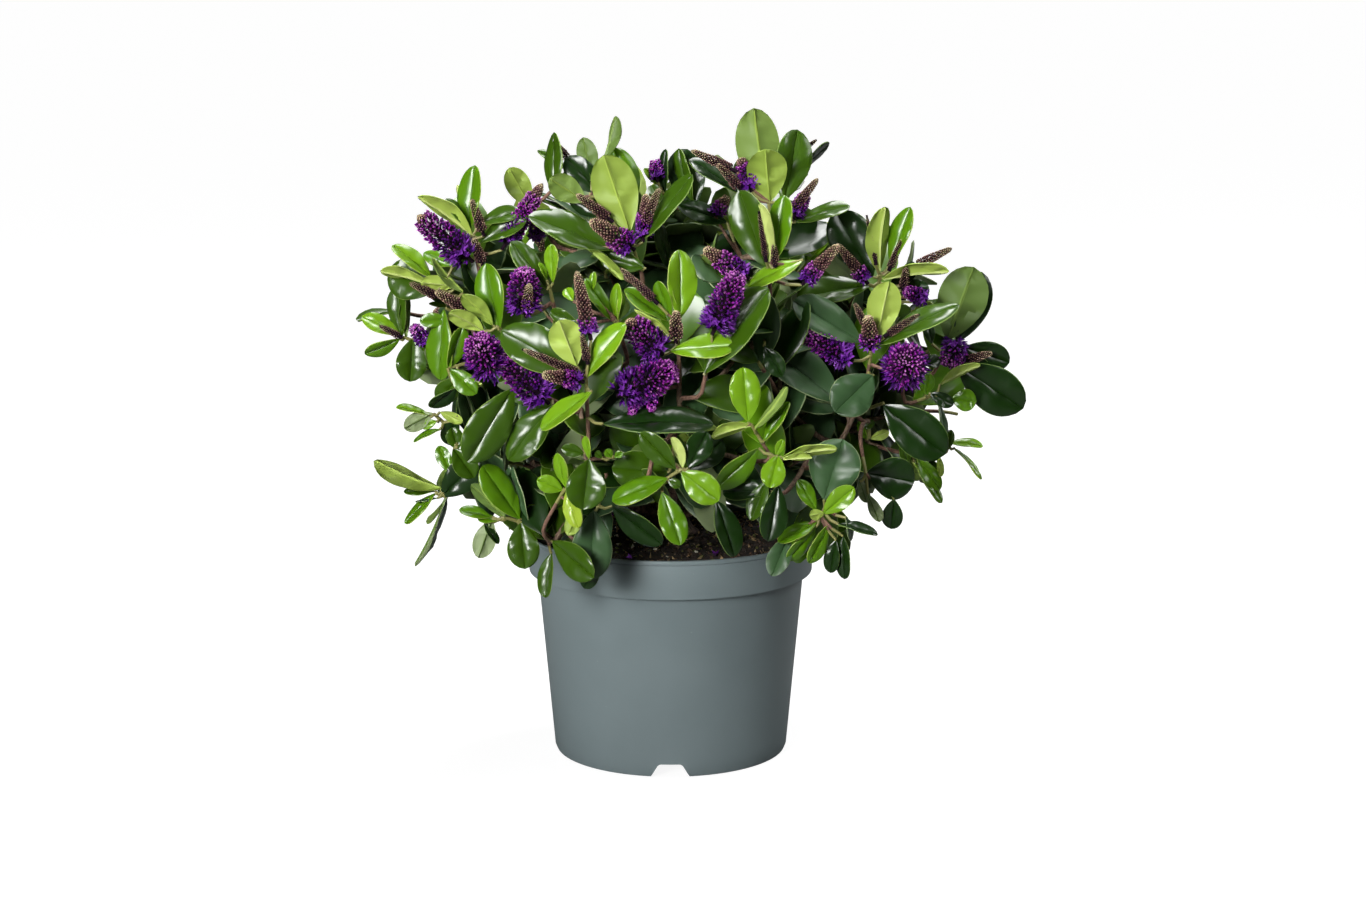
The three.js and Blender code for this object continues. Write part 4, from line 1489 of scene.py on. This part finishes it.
            (441, 489, 372, 469, 13, "B", "fresh"), (435, 491, 404, 488, 5, "FU", "grown"),
            (437, 498, 415, 499, 3, "FU", "old"), (435, 493, 403, 521, 6.5, "FU", "fresh"),
            (447, 497, 424, 569, 5, "FR", "old", 4), (441, 497, 477, 462, 21.5, "FL", "deep", 8),
            (451, 473, 438, 446, 10, "F", "fresh", -4),
        ]),
        Shoot(70, [(456, 444), (480, 448)], [
            (453, 448, 474, 477, 15.5, "F", "grown", 4), (458, 450, 452, 428, 11, "F", "grown"),
        ]),
    ],
    "skirt_front_left": [
        Shoot(122, [(504, 517), (530, 525), (553, 540)], [
            (520, 519, 484, 466, 18.5, "F", "fresh", 4), (506, 519, 474, 482, 11, "B", "deep"),
            (492, 517, 460, 508, 7, "F", "fresh"), (500, 520, 478, 517, 5, "FU", "fresh"),
            (484, 522, 499, 543, 6.5, "F", "deep", 4), (492, 519, 479, 557, 14, "B", "old"),
            (521, 522, 525, 568, 20, "F", "grown", 10), (528, 521, 510, 468, 5.5, "FL", "old", -4),
            (551, 553, 544, 597, 9.5, "FL", "grown", 6), (552, 541, 591, 577, 17.5, "F", "grown", 26),
        ]),
        Shoot(144, [(565, 488), (546, 522)], [
            (566, 488, 555, 455, 7.5, "F", "young", 4), (563, 490, 538, 480, 11, "F", "young", 4),
            (567, 489, 575, 528, 10, "F", "budding", 8), (581, 506, 568, 535, 10, "B", "fresh", 2),
        ]),
        Shoot(130, [(598, 506), (606, 480)], [
            (594, 510, 590, 580, 25.5, "F", "old", 2), (597, 560, 583, 590, 12, "FR", "deep", -2),
            (612, 506, 660, 546, 15.5, "FD", "deep", 0),
        ]),
    ],
    "skirt_front": [
        Shoot(182, [(682, 469), (650, 489), (652, 460)], [
            (683, 468, 675, 436, 6.5, "B", "budding"), (676, 469, 640, 435, 14, "F", "grown", 2),
            (688, 468, 707, 432, 16, "F", "deep", -4), (681, 471, 718, 500, 18, "F", "young", 8),
            (668, 478, 612, 498, 13.5, "FU", "fresh", 4), (662, 492, 682, 543, 16, "F", "fresh", 12),
            (668, 480, 680, 486, 6, "F", "grown", 2),
        ]),
        Shoot(150, [(672, 462), (676, 430)], [
            (668, 473, 613, 468, 23.5, "F", "grown", 4), (690, 470, 722, 440, 17.5, "F", "deep", 0),
            (716, 500, 738, 555, 16.5, "F", "deep", 8),
        ]),
        Shoot(150, [(751, 424), (768, 452)], [
            (748, 422, 743, 369, 19, "F", "young", 2), (751, 425, 710, 431, 7.5, "B", "young", 4),
            (718, 429, 697, 422, 5.5, "B", "young", 2), (755, 429, 793, 392, 6, "B", "grown", 4),
            (764, 441, 788, 402, 8.5, "F", "fresh", 0),
        ]),
    ],
    "skirt_front_right": [
        Shoot(148, [(770, 454), (776, 486)], [
            (759, 448, 720, 490, 13.5, "F", "fresh", 6), (778, 455, 770, 486, 15, "F", "young", 12),
            (782, 457, 835, 440, 5.5, "BU", "young", 4), (783, 459, 812, 456, 4, "BU", "young", 4),
            (776, 456, 783, 440, 5.5, "F", "young", 2), (778, 485, 772, 541, 16, "F", "deep", 10),
            (767, 480, 750, 519, 12.5, "F", "grown", 6), (771, 492, 722, 488, 14, "F", "deep", -6),
        ]),
        Shoot(132, [(820, 516), (830, 500), (822, 470)], [
            (816, 510, 800, 480, 10, "F", "fresh"), (823, 514, 853, 488, 13.5, "F", "young", 6),
            (824, 513, 809, 516, 7, "B", "young", 8), (817, 522, 778, 540, 9.5, "FU", "fresh", 8),
            (816, 527, 791, 562, 9, "F", "fresh", 8), (828, 525, 813, 564, 9.5, "F", "fresh", 8),
            (838, 524, 878, 532, 5.5, "FU", "deep", 0), (836, 540, 828, 573, 10, "F", "deep", 2),
            (843, 536, 842, 579, 10.5, "F", "deep", 4), (846, 518, 856, 540, 5.5, "F", "old", -6),
            (824, 500, 842, 441, 32, "FL", "old", 2), (789, 535, 772, 575, 14.5, "F", "old", 10),
        ]),
    ],
    "skirt_right": [
        Shoot(96, [(866, 474), (862, 452)], [
            (866, 473, 915, 482, 27, "F", "deep", -2), (894, 499, 891, 530, 13.5, "F", "deep", -6),
            (868, 494, 880, 521, 7.5, "B", "old", -4), (860, 482, 867, 501, 7.5, "B", "old", -6),
        ]),
        Shoot(76, [(884, 403), (858, 412)], [(883, 405, 945, 454, 29, "F", "deep", 8)]),
        Shoot(34, [(948, 446), (912, 452), (870, 444)], [
            (945, 453, 950, 430, 7, "F", "grown"), (950, 443, 983, 443, 6.5, "F", "young"),
            (955, 448, 987, 474, 3, "FU", "young"), (902, 437, 908, 463, 8, "F", "grown", 4),
            (917, 458, 941, 489, 11, "F", "fresh", 4), (914, 462, 945, 500, 4, "FU", "fresh", 2),
            (938, 455, 943, 476, 4.5, "B", "fresh"), (867, 440, 858, 422, 5, "F", "fresh"),
            (870, 439, 889, 432, 6.5, "B", "young"), (863, 430, 874, 421, 5, "F", "grown"),
        ]),
    ],
}

# How a shoot of the table is built: its stem runs back as it goes down, its spikes stand proud of its
# leaves, and each leaf bends, folds and twists within these bounds.
STEM_SINKS = 9
BEHIND_FROM = 3
SPIKE_PROUD = 2
SHOWN_ALONG = (0.35, 0.7)
SHOWN_BENDS = (0.05, 0.35)
SHOWN_FOLD = (8, 5)
SHOWN_TWIST = 0.12
CURVE_TAKES = 1.02
LEAF_SHAPE = 0.52
NARROWEST = 0.12
SQUARE_ON = 0.2
STALK_LEAST = 1.5
STALK_BEHIND = 5
STALK_HANGS = 1.5
STALK_RADII = (1.2, 1.0, 0.9)


def seen_at(across, down, depth):
    """The point at this depth that the camera shows at this place in its frame."""
    reach = LENS / SENSOR * FRAME_WIDE
    right, up = (across - FRAME_WIDE / 2) / reach, (FRAME_HIGH / 2 - down) / reach
    cos, sin = math.cos(TIPPED_DOWN), math.sin(TIPPED_DOWN)
    ray = np.array((right, cos + up * sin, up * cos - sin))
    return np.array(EYE) + ray * (-depth - EYE[1]) / ray[1]


def carried(mass, line, place):
    """Carries a place on a thin stalk from the nearest limb or twig, unless it is on its own twig."""
    limbs = [*line, *(node[0] for node in skeleton[mass] if node[0][1] > place[1] - STALK_BEHIND)]
    nearest = min(limbs, key=lambda point: np.linalg.norm(point - place))
    if np.linalg.norm(nearest - place) > STALK_LEAST:
        middle = (nearest + place) / 2 - (0, 0, STALK_HANGS)
        growth[mass]["twigs"].append((np.array((nearest, middle, place)), np.array(STALK_RADII)))


def turned_face(along, base, facing, cosine, dice):
    """A face square to a leaf's length, turned so far from the eye that the leaf looks this narrow."""
    view = np.array(EYE) - base
    front = unit(view - along * (view @ along))
    aside = np.cross(along, front)
    hint = sum((np.array(WAYS[letter], float) for letter in facing[1:]), np.zeros(3)) @ aside
    way = math.copysign(1, hint if abs(hint) > SQUARE_ON else dice.uniform(-1, 1))
    front = front if facing[0] == "F" else -front
    return front * cosine + aside * way * math.sqrt(1 - cosine**2)


shoot_tips = []
for shoots in SHOOTS.values():
    for shoot in shoots:
        for x0, y0, x1, y1, *_ in shoot.leaves + shoot.spikes:
            shown += [(x0 + (x1 - x0) * k, y0 + (y1 - y0) * k, -shoot.depth) for k in SHOWN_ALONG]
for mass, shoots in SHOOTS.items():
    for number, (depth, marks, leaves, spikes) in enumerate(shoots):
        dice = np.random.default_rng([sum(map(ord, mass)), number])
        stem_line = [seen_at(x, y, depth - STEM_SINKS * k) for k, (x, y) in enumerate(marks)]
        shoot_tips.append(stem_line[0])
        way = unit(stem_line[0] - stem_line[1])
        through = stem_line[1:]
        line = grow_shoot(mass, stem_line[0], way, dice, first=BEHIND_FROM, through=through, behind=True)
        for x0, y0, x1, y1, wide, facing, tone, *nearer in leaves:
            base = seen_at(x0, y0, depth)
            tip = seen_at(x1, y1, depth + sum(nearer))
            along = unit(tip - base)
            length = np.linalg.norm(tip - base)
            width = max(wide, LEAF_SHAPE * length)
            face = turned_face(along, base, facing, max(NARROWEST, wide / width), dice)
            carried(mass, line, base)
            bend, fold = dice.uniform(*SHOWN_BENDS), math.radians(dice.normal(*SHOWN_FOLD))
            twist, phase = dice.normal(scale=SHOWN_TWIST), dice.uniform(0, 2 * math.pi)
            leaf = Leaf(base, along, face, length * CURVE_TAKES, width, bend, fold, twist, phase, tone)
            growth[mass]["broad_leaves" if facing[0] == "F" else "creased_leaves"].append(leaf)
        for x0, y0, x1, y1, wide, open_share, *nearer in spikes:
            foot = seen_at(x0, y0, depth + SPIKE_PROUD)
            top = seen_at(x1, y1, depth + SPIKE_PROUD + sum(nearer))
            carried(mass, line, foot)
            add_spike(mass, foot, top - foot, np.linalg.norm(top - foot), open_share, wide)

# ---- The rest of the crown ----
# Between the shoots that stand out, the crown is filled by others like them, a hand's breadth apart
# over each mass's outer face, with darker older ones behind that close the crown's inside; their darker
# tones are partly painted shade there.

CROWN_MIDDLE = np.array((5.0, 0.0, 240.0))
SPOTS = 260
FILL_SPACING = 52.0
FRONT_CLOSER = 0.7
INNER_SPACING = 50.0
TIP_INSET = 16.0
FRONT_INSET = 40.0
INNER_INSET = 52.0
OPEN_REACH = 90.0
UNDERSIDE = -0.75
FRONT_FACING, FRONT_BEFORE = -0.2, 50
FRONT_AGE = 3
SIZES = (0.85, 1.05)
UPRIGHT_FROM, UPRIGHT_OVER = 170, 200
NORMAL_PULL, MIDDLE_PULL = 0.6, 0.3
UP_PULL, UP_PULL_HIGH = 0.15, 0.55
INNER_NORMAL_PULL, INNER_UP_PULL = 0.7, 0.3
INNER_STRAY = 0.2
# Inner shoots count as this many pairs older, which deals them darker tones, partly as painted shade.
INNER_AGE = 4
INNER_FIRST, INNER_LAST = 2, 7
FLOWERS_ABOVE = 255.0
FLOWERS_BEHIND = 45
FLOWERING = 0.75
SPIKES_BELOW_TIP = (4, 12)
SPIKE_LENGTHS = (38, 50)
SPIKE_WIDTH, SPIKE_OPENS = 9, 9
SPIKE_UP, SPIKE_OUT = 1.6, 0.9
OPEN_SHARES = (0.0, 0.35, 0.7, 0.9)
OVER_FRONT = -60.0
ALONG_RIB, ACROSS_RIB = (0.3, 0.5, 0.7, 0.97), 0.4
ALONG_SPIKE = (0.5, 0.8)

# The gaps in the crown's outline where the sky shows through: places in the frame and their radii.
OPEN_SKY = (
    (1006, 304, 13), (421, 391, 15), (404, 446, 16), (426, 456, 12), (971, 425, 12), (923, 491, 13),
    (375, 293, 9), (421, 310, 8), (504, 540, 13), (935, 281, 9), (980, 330, 9), (647, 157, 13),
    (909, 258, 6), (430, 472, 6), (435, 377, 5), (966, 414, 8), (467, 520, 8), (459, 503, 5),
    (396, 350, 6), (420, 243, 7),
)

taken = list(shoot_tips)


def outer_spots(mass, count, dice):
    """Random points on a mass's face, and their normals, where no other mass lies close outside."""
    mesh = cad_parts[f"leaves_{mass}"].data
    areas = np.array([p.area for p in mesh.polygons])
    picks = dice.choice(len(areas), count, p=areas / areas.sum())
    for pick in picks:
        face = mesh.polygons[pick]
        weights = dice.dirichlet((1, 1, 1))
        spot = sum((mesh.vertices[v].co / MM * w for v, w in zip(face.vertices, weights)), Vector())
        normal = face.normal
        if crown_tree.ray_cast(spot + normal * 2, normal, OPEN_REACH)[0] is None:
            yield np.array(spot), np.array(normal)


def clear_of(point, others, spacing):
    """Whether a point keeps this far from all the others."""
    return all(np.linalg.norm(point - other) >= spacing for other in others)


for number, mass in enumerate(MASSES):
    dice = np.random.default_rng(100 + number)
    spots = list(outer_spots(mass, SPOTS, dice))
    for spot, normal in spots:
        if normal[2] < UNDERSIDE:
            continue
        in_front = normal[1] < FRONT_FACING and spot[1] < FRONT_BEFORE
        tip = spot - normal * (FRONT_INSET if in_front else TIP_INSET)
        if not clear_of(tip, taken, FILL_SPACING * (FRONT_CLOSER if in_front else 1)):
            continue
        taken.append(tip)
        height = np.clip((spot[2] - UPRIGHT_FROM) / UPRIGHT_OVER, 0, 1)
        up = (0, 0, UP_PULL + UP_PULL_HIGH * height)
        way = unit(normal * NORMAL_PULL + unit(spot - CROWN_MIDDLE) * MIDDLE_PULL + up)
        roll, size = dice.uniform(0, math.pi), dice.uniform(*SIZES)
        line = grow_shoot(mass, tip, way, dice, roll=roll, size=size, age=FRONT_AGE * in_front)
        may_flower = line is not None and tip[2] > FLOWERS_ABOVE and tip[1] > FLOWERS_BEHIND
        if may_flower and dice.uniform() < FLOWERING:
            for _ in range(dice.integers(1, 3)):
                foot, stem_way = below_tip(line, dice.uniform(*SPIKES_BELOW_TIP))
                aside = unit(dice.normal(size=3))
                across = unit(aside - stem_way * (aside @ stem_way))
                spike_way = stem_way * SPIKE_UP + across * SPIKE_OUT
                share = dice.choice(OPEN_SHARES)
                width = SPIKE_WIDTH + SPIKE_OPENS * min(1, 2 * share)
                add_spike(mass, foot, spike_way, dice.uniform(*SPIKE_LENGTHS), share, width)
    inner_taken = []
    for spot, normal in spots:
        tip = spot - normal * INNER_INSET
        if not clear_of(tip, inner_taken, INNER_SPACING):
            continue
        inner_taken.append(tip)
        stray = dice.normal(scale=INNER_STRAY, size=3)
        way = unit(spot - CROWN_MIDDLE) * MIDDLE_PULL + stray + (0, 0, INNER_UP_PULL)
        way = way + normal * INNER_NORMAL_PULL
        roll = dice.uniform(0, math.pi)
        grow_shoot(mass, tip, way, dice, roll=roll, age=INNER_AGE, first=INNER_FIRST, last=INNER_LAST)


def in_open_sky(points):
    """Whether one of these points shows in a gap of the outline."""
    places = shown_at(points)
    return any(np.linalg.norm(places - (x, y), axis=1).min() < radius for x, y, radius in OPEN_SKY)


def kept_leaf(leaf):
    """Whether a leaf stays: clear of the outline's gaps, and not hanging over the front of the pot."""
    side = np.cross(leaf.along, leaf.face) * leaf.width * ACROSS_RIB
    rib = [leaf.base + leaf.along * leaf.length * share for share in ALONG_RIB]
    tip = rib[-1]
    over_pot = tip[1] < OVER_FRONT and tip[2] < POT_HEIGHT
    return not over_pot and not in_open_sky([spot + side * k for spot in rib for k in (-1, 0, 1)])


def kept_spike(spike):
    """Whether a spike stays, as one at the front or clear of the outline's gaps does."""
    upper = [spike.foot + spike.way * spike.length * share for share in ALONG_SPIKE]
    return spike.foot[1] < FLOWERS_BEHIND or not in_open_sky(upper)


for grown in growth.values():
    grown["leaves"] = [leaf for leaf in grown["leaves"] if kept_leaf(leaf)]
    grown["spikes"] = [spike for spike in grown["spikes"] if kept_spike(spike)]

# ---- The pieces of each mass ----
# Each mass's leaves, twigs, stalks, buds, florets about to open and open florets are joined, each
# kind apart, into one piece that stands for the mass and rides where it does.


def tubes(lines):
    """Closed tubes of TWIG_SIDES sides round lines of points with a radius at each."""
    points, faces, from_tip = [], [], []
    start = 0
    for line, radii in lines:
        ways = np.gradient(line, axis=0)
        ways /= np.linalg.norm(ways, axis=1, keepdims=True)
        helper = unit(np.cross(ways[0], (0.3, 0.5, 0.81)))
        left = np.linalg.norm(np.diff(line, axis=0), axis=1)[::-1].cumsum()[::-1]
        for point, way, radius in zip(line, ways, radii):
            helper = unit(helper - way * (helper @ way))
            other = np.cross(way, helper)
            for side in range(TWIG_SIDES):
                angle = 2 * math.pi * side / TWIG_SIDES
                points.append(point + (helper * math.cos(angle) + other * math.sin(angle)) * radius)
        for step in range(len(line) - 1):
            for side in range(TWIG_SIDES):
                a = start + step * TWIG_SIDES + side
                b = start + step * TWIG_SIDES + (side + 1) % TWIG_SIDES
                faces.append((a, b, b + TWIG_SIDES, a + TWIG_SIDES))
                from_tip.append(left[step])
        faces.append([start + side for side in reversed(range(TWIG_SIDES))])
        from_tip.append(left[0])
        faces.append([start + (len(line) - 1) * TWIG_SIDES + side for side in range(TWIG_SIDES)])
        from_tip.append(0.0)
        start += len(line) * TWIG_SIDES
    return points, faces, np.array(from_tip)


# Young shoots are green at the tip, flushed purple-brown below, and turn to thin brown bark.
shoot_finishes = [
    matt("green_shoot_skin", "#7c7a44", roughness=0.55),
    bark_finish("flushed_shoot_skin", "#80604e", "#523a30", 1.5),
    bark_finish("thin_twig_bark", "#86705c", "#4b392d", 1.6),
]

FLUSHED_TO = 3.5 * GREEN_TIP
LEAF_SMOOTH, TWIG_SMOOTH, FLORET_SMOOTH = (math.radians(degrees) for degrees in (50, 70, 60))

for number, mass in enumerate(MASSES):
    dice = np.random.default_rng(500 + number)
    grown = growth[mass]
    made = []

    points, faces, worn = np.empty((0, 3)), [], []
    for kind, form in (("leaves", PLAIN), ("broad_leaves", BROAD), ("creased_leaves", CREASED)):
        leaves = grown[kind]
        if leaves:
            start = len(points)
            points = np.concatenate([points, leaf_points(leaves, form).reshape(-1, 3)])
            more = repeated(form.faces, form.points, len(leaves))
            faces += [[start + c for c in face] for face in more]
            worn = np.concatenate([worn, leaf_wear(leaves, form)])
    made.append(joined(f"leaf_sprays_{mass}", points, faces, leaf_finishes, worn))
    bpy.ops.object.shade_smooth_by_angle(angle=LEAF_SMOOTH)

    points, faces, from_tip = tubes(grown["twigs"])
    worn = np.where(from_tip < GREEN_TIP, 0, np.where(from_tip < FLUSHED_TO, 1, 2))
    made.append(joined(f"twigs_{mass}", points, faces, shoot_finishes, worn))
    bpy.ops.object.shade_smooth_by_angle(angle=TWIG_SMOOTH)

    if grown["spikes"]:
        points, faces, _ = tubes([stalk_of(spike) for spike in grown["spikes"]])
        worn = np.zeros(len(faces))
        made.append(joined(f"flower_stalks_{mass}", points, faces, [stalk_painted_shade_finish], worn))
        wound = {name: {"places": [], "turns": [], "tones": []} for name in WOUND}
        for spike in grown["spikes"]:
            for name, start, end, radius, length in wound_round(spike):
                kind = WOUND[name]
                places, turns, share = spirals(spike, kind, start, end, radius, length, dice)
                tones = paler_upwards(share, start, end, len(kind.finishes) // 3, dice)
                wound[name]["places"].append(places)
                wound[name]["turns"].append(turns)
                wound[name]["tones"].append(tones)
        for name, kind in WOUND.items():
            if wound[name]["places"]:
                places, turns, tones = (np.concatenate(column) for column in wound[name].values())
                points, faces = copies(kind.form, turns, places)
                worn = (tones[:, None] * 3 + np.array(kind.parts)).ravel()
                made.append(joined(f"{name}_{mass}", points, faces, kind.finishes, worn))
                bpy.ops.object.shade_smooth_by_angle(angle=FLORET_SMOOTH)

    for piece in made:
        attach(piece, "root")
        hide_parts(f"leaves_{mass}")

# ---- The sizes ----
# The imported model's box and the box of what is made here, kept side by side as lists of numbers.

boxes = {"cad": cad_box, "visual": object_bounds()}
{name: [list(corner) for corner in box] for name, box in boxes.items()}
